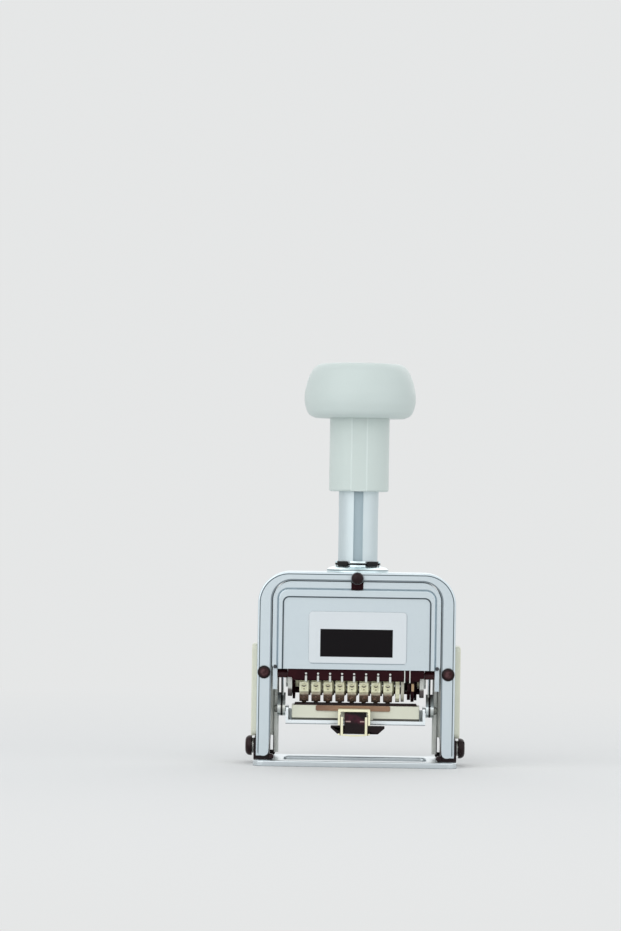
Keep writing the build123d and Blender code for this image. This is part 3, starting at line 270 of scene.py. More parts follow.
def hubMarks(finish):
    height = finish.part("Z")
    return [painted(band(height, *hubShadeLines["grooveShade"]), hubShadeLines["grooveShadePaint"]),
            painted(band(height, *hubShadeLines["seamShade"]), hubShadeLines["seamShadePaint"])]


# painted shade: the floor of the keyway on the stem's front is darker
stemKeywayShade = {"keyway": (-1.75, 1.75), "front": (-7.3, 0.0), "paint": (1, (0.63, 0.70, 0.73))}


def stemMarks(finish):
    keyway = band(finish.part("X"), *stemKeywayShade["keyway"]) * (1 - rise(finish.part("Y"), *stemKeywayShade["front"]))
    return [painted(keyway, stemKeywayShade["paint"])]


# the lower part of each arm is worn in patches; a dark line along its edges is painted shade
armWear = {
    "wearAndHighlight": (29.0, 31.5), "patchScale": 240, "patchDetail": 3, "patch": (0.2, 0.55),
    "wearAndHighlightPaint": (0.75, (0.70, 0.70, 0.655)), "line": (28.15, 28.85), "armEdgeShadePaint": (0.95, (0.11, 0.09, 0.10)),
}


def armMarks(finish):
    wearAndHighlight = (1 - rise(finish.part("Z"), *armWear["wearAndHighlight"])) * patches(finish, armWear)
    line = band(finish.eitherWay("X"), *armWear["line"])
    return [painted(wearAndHighlight, armWear["wearAndHighlightPaint"]), painted(line, armWear["armEdgeShadePaint"])]


# old ink on the lower part of the wheel plates
plateInk = {"edge": (29.6, 30.4), "ragged": 1.2, "raggedScale": 500, "raggedDetail": 2,
            "paint": (0.88, (0.19, 0.09, 0.11))}


def inkBelow(finish, facts):
    # ink up to a ragged edge
    height = finish.part("Z")
    noise = finish.noise(facts["raggedScale"], facts["raggedDetail"])
    return 1 - rise(height + noise * facts["ragged"] * mm, *facts["edge"])


def plateMarks(finish):
    return [painted(inkBelow(finish, plateInk), plateInk["paint"])]


# the ink carrier is darker along its bottom, with a film of old ink there
carrierFilm = {
    "under": (0.05, 0.3), "underPaint": (0.9, (0.56, 0.60, 0.62)), "filmScale": 170, "filmDetail": 4,
    "filmRough": 0.6, "film": (0.42, 0.66), "filmPaint": (0.14, (0.36, 0.34, 0.35)),
}


def carrierMarks(finish):
    low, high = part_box("ink_carrier")
    under = 1 - rise(finish.part("Z"), *carrierFilm["under"], start=low[2])
    noise = finish.noise(carrierFilm["filmScale"], carrierFilm["filmDetail"], rough=carrierFilm["filmRough"])
    film = noise.step(*carrierFilm["film"])
    return [painted(under, carrierFilm["underPaint"]), painted(under * film, carrierFilm["filmPaint"])]


# painted shade in the gap between the outer and the inner legs of the latch bracket
bracketGapShade = {"aside": 0.5, "gap": (5.1, 5.4, 0.06), "top": (19.6, 19.8), "paint": (0.85, (0.40, 0.33, 0.25))}


def bracketMarks(finish):
    aside = (finish.part("X") + bracketGapShade["aside"] * mm).maths("ABSOLUTE")
    gap = band(aside, *bracketGapShade["gap"]) * (1 - rise(finish.part("Z"), *bracketGapShade["top"]))
    return [painted(gap, bracketGapShade["paint"])]


# ink dries on the figures that stand lowest, which are darkened as painted shade too, with patches of painted
# highlight
typeInkAndShade = {
    "edge": (27.3, 28.9), "ragged": 0.9, "raggedScale": 900, "raggedDetail": 2,
    "paint": (0.9, (0.28, 0.14, 0.13)),
    "patchScale": 1100, "patchDetail": 2, "patch": (0.48, 0.6), "highlightPaint": (0.45, (0.66, 0.50, 0.42)),
}


def typeMarks(finish):
    inked = inkBelow(finish, typeInkAndShade)
    highlightPatches = patches(finish, typeInkAndShade)
    return [painted(inked, typeInkAndShade["paint"]), painted(inked * highlightPatches, typeInkAndShade["highlightPaint"])]


# raised figures on the number wheels: their places along the shaft and round each wheel, and their shape
figures = {
    "start": -20.0 * mm, "pitch": 4.62 * mm, "wheels": 8, "height": 32.6 * mm, "face": 8.5 * mm, "count": 10,
    "firstAngle": -90, "size": 3.9 * mm, "rise": 0.4 * mm, "fatten": 0.02 * mm, "curveSteps": 3,
    "mergeWithin": 0.000005,
}
# the shadow side of each figure's curve
figureShade = {"middle": 30.9, "curve": (0.62, 0.9, 0.08), "below": (-0.3, -0.2), "front": (-7.4, -7.2),
               "paint": (0.9, (0.24, 0.20, 0.15))}


def figureMarks(finish):
    half = figures["pitch"] / 2
    across = (finish.part("X") - (figures["start"] - half)).maths("WRAP", figures["pitch"], 0.0) - half
    above = finish.part("Z") - figureShade["middle"] * mm
    ring = radial(across, above)
    front = 1 - rise(finish.part("Y"), *figureShade["front"])
    curve = band(ring, *figureShade["curve"]) * (1 - rise(above, *figureShade["below"])) * front
    return typeMarks(finish) + [painted(curve, figureShade["paint"])]


# painted highlight: lighter lines along both edges of the sleeve's flat front band
sleeveEdgeHighlights = {"edges": (2.8, 3.15, 0.15), "front": (-11.0, 0.0), "paint": (0.8, (0.87, 0.91, 0.90))}


def sleeveMarks(finish):
    edges = band(finish.eitherWay("X"), *sleeveEdgeHighlights["edges"])
    front = 1 - rise(finish.part("Y"), *sleeveEdgeHighlights["front"])
    return [painted(edges * front, sleeveEdgeHighlights["paint"])]


# painted shadow: a dark line low on the ink case, away from its middle, where it meets the carrier's lip
caseFootShade = {"seamShade": (16.8, 18.0, 0.1), "aside": (6.6, 6.9), "paint": (0.93, (0.15, 0.15, 0.13))}


def caseMarks(finish):
    seamShade = band(finish.part("Z"), *caseFootShade["seamShade"]) * rise(finish.eitherWay("X"), *caseFootShade["aside"])
    return [painted(seamShade, caseFootShade["paint"])]


# painted shade: a darker line along the top of the base plate's front and back edges
baseEdgeShade = {"edge": (20.15, 20.6, 0.12), "top": (2.0, 2.15), "paint": (0.7, (0.36, 0.41, 0.44))}


def baseMarks(finish):
    edge = band(finish.eitherWay("Y"), *baseEdgeShade["edge"]) * rise(finish.part("Z"), *baseEdgeShade["top"])
    return [painted(edge, baseEdgeShade["paint"])]


# a pale disc in its own colour, and a painted highlight on the outer rim
selectorToneAndHighlight = {
    "ring": (17.3, 18.65), "ringPaint": (0.92, (0.88, 0.87, 0.80)),
    "rim": (21.45, 22.95), "rimHighlightHeight": (28.9, 31.6, 0.2), "rimPaint": (0.9, (0.86, 0.74, 0.58)),
}


def selectorMarks(finish):
    across = finish.part("X")
    wearAndHighlight = band(across, *selectorToneAndHighlight["rim"]) * band(finish.part("Z"), *selectorToneAndHighlight["rimHighlightHeight"])
    return [painted(band(across, *selectorToneAndHighlight["ring"]), selectorToneAndHighlight["ringPaint"]),
            painted(wearAndHighlight, selectorToneAndHighlight["rimPaint"])]


# a plain printed block, and a line of shade along the plate's foot and one side
labelPrint = {
    "across": (-13.9, 13.9), "upright": (41.9, 52.5), "paint": (1, (0.045, 0.03, 0.045)),
    "foot": (0.25, 0.4), "side": (-0.35, -0.2), "sideAmount": 0.5, "shade": (0.65, (0.47, 0.55, 0.60)),
}


def labelMarks(finish):
    block = band(finish.part("X"), *labelPrint["across"]) * band(finish.part("Z"), *labelPrint["upright"])
    low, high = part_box("label_plate")
    foot = 1 - rise(finish.part("Z"), *labelPrint["foot"], start=low[2])
    side = rise(finish.part("X"), *labelPrint["side"], start=high[0])
    shade = foot.maths("MAXIMUM", side * labelPrint["sideAmount"])
    return [painted(block, labelPrint["paint"]), painted(shade, labelPrint["shade"])]


# a painted reddish highlight across the middle of the pull tab, and two pale marks
tabSheenAndMarks = {
    "slant": 0.12, "body": (4.4, 4.8), "sheen": (17.0, 19.0, 1.0), "sheenPaint": (0.6, (0.33, 0.12, 0.19)),
    "patchScale": 300, "patchDetail": 3, "patch": (0.4, 0.6),
    "paleMark": (16.9, 17.25, 0.12), "paleMarkAcross": (1.9, 3.6, 0.2), "paleMarkPaint": (0.7, (0.80, 0.68, 0.66)),
}


def tabMarks(finish):
    height = finish.part("Z") + finish.part("X") * tabSheenAndMarks["slant"]
    body = 1 - rise(finish.eitherWay("X"), *tabSheenAndMarks["body"])
    sheen = band(height, *tabSheenAndMarks["sheen"]) * patches(finish, tabSheenAndMarks) * body
    paleMarks = band(finish.part("Z"), *tabSheenAndMarks["paleMark"]) * band(finish.eitherWay("X"), *tabSheenAndMarks["paleMarkAcross"])
    return [painted(sheen, tabSheenAndMarks["sheenPaint"]), painted(paleMarks, tabSheenAndMarks["paleMarkPaint"])]


# painted shade in a dark ring round the edge of each screw's head, and a painted highlight on its middle
screwShadeAndHighlight = {
    "radius": 2.5, "ring": (1.55, 1.95), "ringPaint": (0.85, (0.05, 0.025, 0.03)),
    "wearAndHighlight": (1.0, 1.5), "wearAndHighlightPaint": (0.5, (0.42, 0.30, 0.31)),
    "patchScale": 700, "patchDetail": 2, "patch": (0.4, 0.6),
}


def screwMarks(finish):
    low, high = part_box("frame_screws")
    aside = finish.eitherWay("X") - (high[0] - screwShadeAndHighlight["radius"] * mm)
    above = finish.part("Z") - (low[2] + high[2]) / 2
    ring = radial(aside, above)
    wearAndHighlight = (1 - rise(ring, *screwShadeAndHighlight["wearAndHighlight"])) * patches(finish, screwShadeAndHighlight)
    return [painted(rise(ring, *screwShadeAndHighlight["ring"]), screwShadeAndHighlight["ringPaint"]),
            painted(wearAndHighlight, screwShadeAndHighlight["wearAndHighlightPaint"])]


def withMarks(finish, base, marks):
    for mask, colour in marks(finish) if marks else ():
        base = finish.mix(mask, base, fromScreen(colour))
    return base


# painted shade where faces meet, together with the dust and old oil that gather there
shadeAndGrimeLook = {"samples": 8, "open": 0.72, "closed": 0.22}


def cornerGrime(finish, base, depth, amount, colour):
    shade = finish.node("ShaderNodeAmbientOcclusion", {"samples": shadeAndGrimeLook["samples"]}, Distance=depth)
    corner = Socket(finish.tree, shade.outputs["AO"]).step(shadeAndGrimeLook["open"], shadeAndGrimeLook["closed"])
    return finish.mix(corner * amount, base, fromScreen(colour))


# plated or bare metal: fine grain, faint cloudy smears and small scratches in the gloss
metalLook = {
    "cloudScale": 60, "cloudDetail": 4, "cloudRough": 0.6, "smear": (0.42, 0.68), "dullShade": 0.9,
    "fineShare": 0.6, "glossShift": 0.8, "fineHeight": 0.7, "cloudHeight": 0.6, "coatRough": 0.06,
}


def metalFinish(name, colour, rough, grain=(1, 1, 1), grainScale=900, dull=None, dullAmount=0.4, metal=1.0,
                grainDepth=0.000004, spread=0.1, coat=0.0, shadeAndGrime=0.0, shadeAndGrimeDepth=0.0012,
                shadeAndGrimeColour=(0.16, 0.17, 0.19), marks=None, shine=0.5):
    look = metalLook
    finish = Finish(name)
    clouds = finish.noise(look["cloudScale"], look["cloudDetail"], rough=look["cloudRough"])
    fine = finish.noise(grainScale, 2, grain)
    smear = clouds.step(*look["smear"])
    dull = dull or [c * look["dullShade"] for c in colour]
    base = finish.mix(smear * dullAmount, fromScreen(colour), fromScreen(dull))
    base = withMarks(finish, base, marks)
    # darker where faces meet: painted shade, and grime
    if shadeAndGrime:
        base = cornerGrime(finish, base, shadeAndGrimeDepth, shadeAndGrime, shadeAndGrimeColour)
    finish.set(Base_Color=base, Metallic=metal, Specular_IOR_Level=shine)
    gloss = clouds * spread + fine * spread * look["fineShare"] + (rough - spread * look["glossShift"])
    finish.set(Roughness=gloss)
    if coat:
        finish.set(Coat_Weight=coat, Coat_Roughness=look["coatRough"])
    finish.bump(fine * look["fineHeight"] + clouds * look["cloudHeight"], grainDepth)
    return finish


# moulded plastic, rubber and felt: soft clouds of colour, a fine grain and small dark specks
plasticLook = {
    "cloudScale": 45, "cloudDetail": 4, "cloudRough": 0.6, "smear": (0.4, 0.7), "dullShade": 0.92,
    "speckScale": 2600, "speck": (0.68, 0.76), "speckAmount": 0.12, "speckShade": 0.75, "shadeAndGrimeDepth": 0.0012,
    "cloudSpread": 0.12, "fineSpread": 0.1, "glossShift": 0.11, "cloudHeight": 0.8, "coatRough": 0.15,
    "glowReach": (0.004, 0.004, 0.004),
}


def plasticFinish(name, colour, rough, dull=None, dullAmount=0.35, grainScale=1400, grainDepth=0.00001,
                  glow=0.0, coat=0.0, shadeAndGrime=0.0, shadeAndGrimeColour=None, marks=None, shine=0.5):
    look = plasticLook
    finish = Finish(name)
    clouds = finish.noise(look["cloudScale"], look["cloudDetail"], rough=look["cloudRough"])
    fine = finish.noise(grainScale, 2)
    specks = finish.noise(look["speckScale"], 1).step(*look["speck"])
    dull = dull or [c * look["dullShade"] for c in colour]
    base = finish.mix(clouds.step(*look["smear"]) * dullAmount, fromScreen(colour), fromScreen(dull))
    speckColour = fromScreen([c * look["speckShade"] for c in colour])
    base = finish.mix(specks * look["speckAmount"], base, speckColour)
    base = withMarks(finish, base, marks)
    # darker where faces meet: painted shade, and grime
    if shadeAndGrime:
        base = cornerGrime(finish, base, look["shadeAndGrimeDepth"], shadeAndGrime, shadeAndGrimeColour)
    gloss = clouds * look["cloudSpread"] + fine * look["fineSpread"] + (rough - look["glossShift"])
    finish.set(Base_Color=base, Roughness=gloss, Specular_IOR_Level=shine)
    if glow:
        finish.set(Subsurface_Weight=glow, Subsurface_Radius=look["glowReach"], Subsurface_Scale=1.0)
    if coat:
        finish.set(Coat_Weight=coat, Coat_Roughness=look["coatRough"])
    finish.bump(fine + clouds * look["cloudHeight"], grainDepth)
    return finish


# what several finishes share
chromeLook = {"colour": (0.835, 0.878, 0.90), "rough": 0.3, "dull": (0.80, 0.848, 0.875), "grainScale": 1500,
              "shadeAndGrime": 0.6, "shadeAndGrimeDepth": 0.0006, "shadeAndGrimeColour": (0.10, 0.13, 0.16)}
steelLook = {"colour": (0.86, 0.87, 0.85), "rough": 0.34, "dull": (0.72, 0.73, 0.71), "dullAmount": 0.5,
             "grainScale": 2600, "grainDepth": 0.000012, "shadeAndGrime": 0.7}
oiledLook = {"colour": (0.15, 0.05, 0.07), "rough": 0.45, "dull": (0.20, 0.075, 0.095), "dullAmount": 0.9,
             "metal": 0.1, "grainScale": 1800, "grainDepth": 0.00001, "shadeAndGrime": 0.8,
             "shadeAndGrimeColour": (0.04, 0.02, 0.03)}
blackedLook = {"rough": 0.32, "metal": 0.2, "grainScale": 2200, "dullAmount": 0.8, "grainDepth": 0.00001,
               "shine": 0.2}
brassLook = {"rough": 0.36, "dullAmount": 0.6, "grainScale": 1600, "grainDepth": 0.00001, "spread": 0.16,
             "shadeAndGrime": 0.9, "shadeAndGrimeDepth": 0.0014, "shadeAndGrimeColour": (0.22, 0.12, 0.09)}
whiteLook = {"rough": 0.38, "glow": 0.12, "shadeAndGrime": 0.3, "shadeAndGrimeColour": (0.5, 0.55, 0.54)}
creamLook = {"rough": 0.42, "shadeAndGrime": 0.7, "shadeAndGrimeColour": (0.3, 0.25, 0.21)}
labelLook = {"rough": 0.34, "shadeAndGrime": 0.9, "shadeAndGrimeColour": (0.25, 0.29, 0.33)}

# one finish for each of the record's slots, and then the pieces' own
finishes = {
    "chrome": metalFinish("chrome", **chromeLook),
    "steel": metalFinish("plainSteel", grain=(1, 1, 0.06), metal=0.7, **steelLook),
    "dark_screw": metalFinish("blackedScrew", (0.11, 0.055, 0.065), dull=(0.16, 0.08, 0.09), coat=0.06,
                              shadeAndGrime=0.7, shadeAndGrimeColour=(0.03, 0.02, 0.02), **blackedLook),
    "black_steel": metalFinish("darkOiledSteel", shine=0.07, **oiledLook),
    "black_plastic": plasticFinish("blackMoulding", (0.085, 0.045, 0.055), 0.3, dull=(0.14, 0.06, 0.085),
                                   dullAmount=0.7, marks=tabMarks, shine=0.2),
    "white_plastic": plasticFinish("whiteMoulding", (0.80, 0.845, 0.835), dull=(0.78, 0.825, 0.81),
                                   **whiteLook),
    "cream_plastic": plasticFinish("creamMoulding", (0.875, 0.88, 0.81), dull=(0.84, 0.84, 0.765),
                                   **creamLook),
    "brass": metalFinish("paleBrass", (0.97, 0.965, 0.85), dull=(0.90, 0.875, 0.73), metal=0.05, **brassLook),
    "brown_bush": plasticFinish("brownBush", (0.27, 0.11, 0.13), 0.35, dull=(0.17, 0.07, 0.08), shine=0.25),
    "rubber": plasticFinish("blackRubber", (0.045, 0.045, 0.05), 0.5, dull=(0.08, 0.08, 0.08), grainScale=900,
                            grainDepth=0.00003, shine=0.25),
    "label": plasticFinish("labelPlate", (0.835, 0.865, 0.885), dull=(0.81, 0.845, 0.865), coat=0.3,
                           **labelLook),
    "felt": plasticFinish("inkedFelt", (0.13, 0.07, 0.08), 0.85, dull=(0.20, 0.11, 0.11), grainScale=3000,
                          grainDepth=0.0002),
    "copper": metalFinish("copperStrip", (0.62, 0.49, 0.39), 0.4, grain=(0.06, 1, 1), grainScale=2400,
                          dull=(0.43, 0.29, 0.23), dullAmount=0.8, metal=0.3, grainDepth=0.00001, shadeAndGrime=0.7,
                          shadeAndGrimeColour=(0.10, 0.05, 0.04)),
    "spring": metalFinish("springWire", (0.62, 0.64, 0.66), 0.28, dull=(0.45, 0.44, 0.42)),
    "frameChrome": metalFinish("frameChrome", marks=frameMarks, **chromeLook),
    "coverChrome": metalFinish("coverChrome", marks=coverMarks, **chromeLook),
    "armPlate": metalFinish("armPlate", marks=armMarks, **chromeLook),
    "hubChrome": metalFinish("hubChrome", marks=hubMarks, **{
        **chromeLook, "colour": (0.93, 0.99, 1.0), "dull": (0.90, 0.965, 0.985), "shadeAndGrime": 0.3}),
    # a lighter copy of the chrome: painted light for the bright ink carrier
    "litCarrierChrome": metalFinish("litCarrierChrome", marks=carrierMarks, **{
        **chromeLook, "colour": (0.94, 0.965, 0.975), "dull": (0.90, 0.93, 0.945), "rough": 0.46,
        "shadeAndGrime": 0.35}),
    "baseChrome": metalFinish("baseChrome", marks=baseMarks, **{
        **chromeLook, "colour": (0.83, 0.86, 0.875), "dull": (0.79, 0.82, 0.84)}),
    "wheelPlate": metalFinish("wheelPlate", metal=0.5, marks=plateMarks, **steelLook),
    "bracketBrass": metalFinish("bracketBrass", (0.98, 0.97, 0.84), 0.3, dull=(0.92, 0.89, 0.73), metal=0.15,
                                dullAmount=0.5, grainDepth=0.00001, shadeAndGrime=0.7, shadeAndGrimeDepth=0.0009,
                                shadeAndGrimeColour=(0.30, 0.22, 0.13), marks=bracketMarks),
    "rivetSteel": metalFinish("rivetSteel", (0.60, 0.61, 0.585), 0.42, dull=(0.42, 0.40, 0.38),
                              dullAmount=0.7, metal=0.4, shadeAndGrime=0.8),
    "frameScrew": metalFinish("frameScrew", (0.19, 0.095, 0.105), dull=(0.25, 0.13, 0.14), marks=screwMarks,
                              **blackedLook),
    "stemChrome": metalFinish("stemChrome", (0.83, 0.873, 0.885), 0.5, dull=(0.80, 0.848, 0.865),
                              grainScale=1500, grain=(1, 1, 0.1), metal=0.85, marks=stemMarks),
    "selectorSteel": metalFinish("selectorSteel", shine=0.12, marks=selectorMarks, **oiledLook),
    "casePlastic": plasticFinish("casePlastic", (0.90, 0.905, 0.835), dull=(0.87, 0.87, 0.79),
                                 marks=caseMarks, **creamLook),
    "typeBrass": metalFinish("typeBrass", (1.0, 1.0, 0.88), dull=(0.96, 0.945, 0.79), metal=0.0,
                             marks=figureMarks, **brassLook),
    "figureBrass": metalFinish("figureBrass", (0.97, 0.965, 0.83), 0.4, dull=(0.86, 0.83, 0.68), metal=0.0,
                               dullAmount=0.6, grainDepth=0.00001, shadeAndGrime=0.6, shadeAndGrimeDepth=0.0005,
                               shadeAndGrimeColour=(0.30, 0.22, 0.15), marks=figureMarks),
    "sleeveWhite": plasticFinish("sleeveWhite", (0.81, 0.855, 0.84), dull=(0.79, 0.835, 0.82),
                                 marks=sleeveMarks, **whiteLook),
    "printedLabel": plasticFinish("printedLabel", (0.86, 0.885, 0.90), dull=(0.84, 0.87, 0.885),
                                  marks=labelMarks, shine=0.12, **labelLook),
}
print("finishes made:", len(finishes))

ownFinish = {
    "frame_screws": "frameScrew", "left_wheel_plate": "wheelPlate", "right_wheel_plate": "wheelPlate",
    "latch_bracket": "bracketBrass", "ink_carrier": "litCarrierChrome", "arm_rivets": "rivetSteel",
    "outer_frame": "frameChrome", "front_cover": "coverChrome", "rear_cover": "coverChrome",
    "hub_collar": "hubChrome", "stem": "stemChrome", "left_ink_arm": "armPlate", "right_ink_arm": "armPlate",
    "knob_sleeve": "sleeveWhite", "label_plate": "printedLabel", "base_plate": "baseChrome",
    "repeat_selector": "selectorSteel", "ink_case": "casePlastic",
    **{f"digit_wheel_{k}": "typeBrass" for k in range(1, 9)},
}


def standFor(piece, nodeName):
    # the piece rides where the solid rode, takes its place and gets its finish
    slotName = slotOf[nodeName]
    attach(piece, bodyOf[nodeName])
    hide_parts(nodeName)
    piece.data.materials.clear()
    piece.data.materials.append(finishes[ownFinish.get(nodeName, slotName)].material)


for nodeName, cadNode in frame["nodes"].items():
    material = finishes[slotOf[nodeName]].material
    if cadNode.material_slots:
        for place in cadNode.material_slots:
            place.material = material
    else:
        cadNode.data.materials.append(material)
print("solids dressed:", len(frame["nodes"]))


# solids whose edges are softened and whose curves are smoothed, with the width of the bevel in millimetres
softened = {
    "outer_frame": 0.3, "base_plate": 0.24, "left_foot_block": 0.2, "right_foot_block": 0.2,
    "left_guide_rail": 0.15, "right_guide_rail": 0.15, "left_side_plate": 0.1, "right_side_plate": 0.1,
    "side_washers": 0.12, "hub_collar": 0.14, "stem": 0.16, "knob_sleeve": 0.24, "front_cover": 0.2,
    "rear_cover": 0.2, "housing_body": 0.15, "label_plate": 0.06, "left_wheel_plate": 0.12,
    "right_wheel_plate": 0.12, "tie_rods": 0.1, "wheel_shaft": 0.08, "shaft_nuts": 0.12, "detent_bar": 0.15,
    "detent_fingers": 0.04, "pivot_studs": 0.06, "shaft_spacers": 0.08, "drive_ratchet": 0.06,
    "repeat_selector": 0.1, "pawl_yoke": 0.12, "pawl_comb": 0.05, "left_ink_arm": 0.2, "right_ink_arm": 0.2,
    "arm_bushes": 0.1, "ink_carrier": 0.2, "ink_case": 0.16, "ink_pad": 0.2, "pull_tab": 0.55,
    "latch_bracket": 0.16, "clip_strip": 0.1, "stem_plug": 0.12, "stem_nut": 0.15, "spring_pin": 0.06,
    "base_screws": 0.08, **{f"digit_wheel_{k}": 0.75 for k in range(1, 9)},
}
softEdge = {"mergeWithin": 0.000002, "flatUnder": 0.6, "bevelOver": 34, "rounds": 2, "smoothUnder": 32,
            "weight": 80}


def copyNode(nodeName, ending):
    makeActive(frame["nodes"][nodeName])
    bpy.ops.object.duplicate()
    piece = bpy.context.object
    piece.name = f"{nodeName}_{ending}"
    piece.data.name = piece.name
    for key in [k for k in piece.keys() if k.startswith("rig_")]:
        del piece[key]
    mergePoints(piece, softEdge["mergeWithin"])
    standFor(piece, nodeName)
    return piece


def soften(nodeName, width):
    piece = copyNode(nodeName, "soft")
    bpy.ops.object.mode_set(mode="EDIT")
    bpy.ops.mesh.select_all(action="SELECT")
    bpy.ops.mesh.dissolve_limited(angle_limit=math.radians(softEdge["flatUnder"]))
    bpy.ops.object.mode_set(mode="OBJECT")
    bevel = piece.modifiers.new("edges", "BEVEL")
    bevel.width = width * mm
    bevel.segments = softEdge["rounds"]
    bevel.limit_method = "ANGLE"
    bevel.angle_limit = math.radians(softEdge["bevelOver"])
    bevel.use_clamp_overlap = True
    bpy.ops.object.modifier_apply(modifier=bevel.name)
    smoothUnder(softEdge["smoothUnder"])
    flatter = piece.modifiers.new("normals", "WEIGHTED_NORMAL")
    flatter.keep_sharp = True
    flatter.weight = softEdge["weight"]
    bpy.ops.object.modifier_apply(modifier=flatter.name)


for nodeName, width in softened.items():
    soften(nodeName, width)
print("solids softened:", len(softened))


# springs, which shorten as their joints move, though here they are only copied and smoothed: the end that
# moves, 0 for the low one and 1 for the high one
springs = {
    "return_spring": {"joint": "handle_press", "along": 2, "movingEnd": 1, "travel": 23.5},
    "lock_spring": {"joint": "lock_push", "along": 1, "movingEnd": 0, "travel": 2.2},
}
coilSmooth = 65
for nodeName, facts in springs.items():
    spring = copyNode(nodeName, "coils")
    smoothUnder(coilSmooth)
    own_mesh(spring)
print("springs coiled:", len(springs))


# the knob, turned from a smooth outline: radius in millimetres and height as a part of the knob's
knobShape = {
    "bore": ((0.0, 0.45), (3.05, 0.45), (3.05, 0.0), (17.4, 0.0)),
    "side": ((19.7, 0.06), (21.0, 0.18), (21.57, 0.36), (21.05, 0.57), (19.6, 0.79), (17.7, 0.93),
             (16.0, 0.985)),
    "top": ((14.0, 1.0), (0.0, 1.0)),
    "steps": 128, "fineness": 8, "mergeWithin": 0.000005, "smoothUnder": 50,
}


def turnKnob(facts):
    low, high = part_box("knob")
    points = facts["bore"] + facts["side"] + facts["top"]
    deselectAll()
    bpy.ops.curve.primitive_bezier_curve_add(location=(0, 0, 0))
    curve = bpy.context.object
    curve.name = "knob_turned"
    curve.data.resolution_u = facts["fineness"]
    outline = curve.data.splines[0]
    outline.bezier_points.add(len(points) - len(outline.bezier_points))
    for point, (radius, height) in zip(outline.bezier_points, points):
        point.co = (radius * mm, 0, low[2] + height * (high[2] - low[2]))
        kind = "AUTO" if (radius, height) in facts["side"] else "VECTOR"
        point.handle_left_type = kind
        point.handle_right_type = kind
    bpy.ops.object.convert(target="MESH")
    knob = bpy.context.object
    turn = knob.modifiers.new("turn", "SCREW")
    turn.steps = facts["steps"]
    turn.render_steps = facts["steps"]
    turn.use_merge_vertices = True
    turn.merge_threshold = facts["mergeWithin"]
    bpy.ops.object.modifier_apply(modifier=turn.name)
    mergePoints(knob, facts["mergeWithin"], outwards=True)
    smoothUnder(facts["smoothUnder"])
    standFor(knob, "knob")


turnKnob(knobShape)
print("knob turned")


# domed screw heads, pins and rivets, each turned along its own axis: sizes in millimetres, the ends of the
# axis that they point to, and for a slot its width and height
heads = {
    "frame_screws": {"axis": "Y", "ends": (-1, 1), "radius": 2.5, "height": 1.9, "dome": 1.25,
                     "shank": 0.9, "depth": 4.5},
    "side_screws": {"axis": "X", "ends": (-1, 1), "radius": 3.9, "height": 2.5, "dome": 2.15,
                    "shank": 1.6, "depth": 6.9, "slot": (0.9, 1.62)},
    "foot_pins": {"axis": "Y", "ends": (-1, 1), "radius": 1.05, "height": 1.0, "dome": 0.65,
                  "shank": 0.5, "depth": 3.0},
    "cover_screws": {"axis": "Y", "ends": (1,), "radius": 1.9, "height": 0.9, "dome": 0.6,
                     "shank": 0.9, "depth": 1.0, "slot": (0.7, 0.7)},
    "arm_rivets": {"axis": "X", "ends": (-1, 1), "radius": 1.5, "height": 1.4, "dome": 0.9,
                   "shank": 0.9, "depth": 4.0},
    "lock_button": {"axis": "Y", "ends": (-1,), "radius": 2.4, "height": 2.8, "dome": 2.15,
                    "shank": 0.9, "depth": 9.3},
}
headShape = {"sides": 48, "domeRounds": 7, "domeProfile": 0.55, "slotLength": 3, "slotTurn": 41,
             "facing": 0.9, "smoothUnder": 35, "rowOver": 2.2}


def selectFacing(piece, way):
    # the faces that look up for way 1, or down for way -1
    bpy.ops.object.mode_set(mode="OBJECT")
    for face in piece.data.polygons:
        face.select = way * face.normal.z > headShape["facing"]
    bpy.ops.object.mode_set(mode="EDIT")


def turnedHead(facts):
    # a head on its shank, standing on z = 0 with the shank below
    radius, height = facts["radius"] * mm, facts["height"] * mm
    deselectAll()
    bpy.ops.mesh.primitive_cylinder_add(vertices=headShape["sides"], radius=radius, depth=height,
                                        location=(0, 0, height / 2))
    head = bpy.context.object
    applyPlace(head)
    bpy.ops.object.mode_set(mode="EDIT")
    bpy.ops.mesh.select_mode(type="FACE")
    bpy.ops.mesh.select_all(action="DESELECT")
    selectFacing(head, 1)
    bpy.ops.mesh.bevel(offset=facts["dome"] * mm, offset_type="OFFSET", segments=headShape["domeRounds"],
                       profile=headShape["domeProfile"], affect="EDGES")
    bpy.ops.mesh.select_all(action="DESELECT")
    selectFacing(head, -1)
    bpy.ops.mesh.inset(thickness=radius - facts["shank"] * mm)
    bpy.ops.mesh.extrude_region_move(TRANSFORM_OT_translate={"value": (0, 0, -facts["depth"] * mm)})
    bpy.ops.object.mode_set(mode="OBJECT")
    if "slot" in facts:
        slotWide, slotTall = facts["slot"]
        bpy.ops.mesh.primitive_cube_add(size=1, location=(0, 0, height))
        cutter = bpy.context.object
        cutter.scale = (slotWide * mm, headShape["slotLength"] * radius, slotTall * mm)
        applyPlace(cutter)
        makeActive(head)
        cut = head.modifiers.new("slot", "BOOLEAN")
        cut.operation = "DIFFERENCE"
        cut.object = cutter
        cut.solver = "EXACT"
        bpy.ops.object.modifier_apply(modifier=cut.name)
        bpy.data.objects.remove(cutter)
    makeActive(head)
    return head


def headSpots(low, high, radius, axes):
    # one head in the middle of each axis across, or one at both ends where the solids reach that far
    spots = [()]
    for axis in axes:
        wide = high[axis] - low[axis] > headShape["rowOver"] * radius
        values = (low[axis] + radius, high[axis] - radius) if wide else ((low[axis] + high[axis]) / 2,)
        spots = [spot + (value,) for spot in spots for value in values]
    return spots


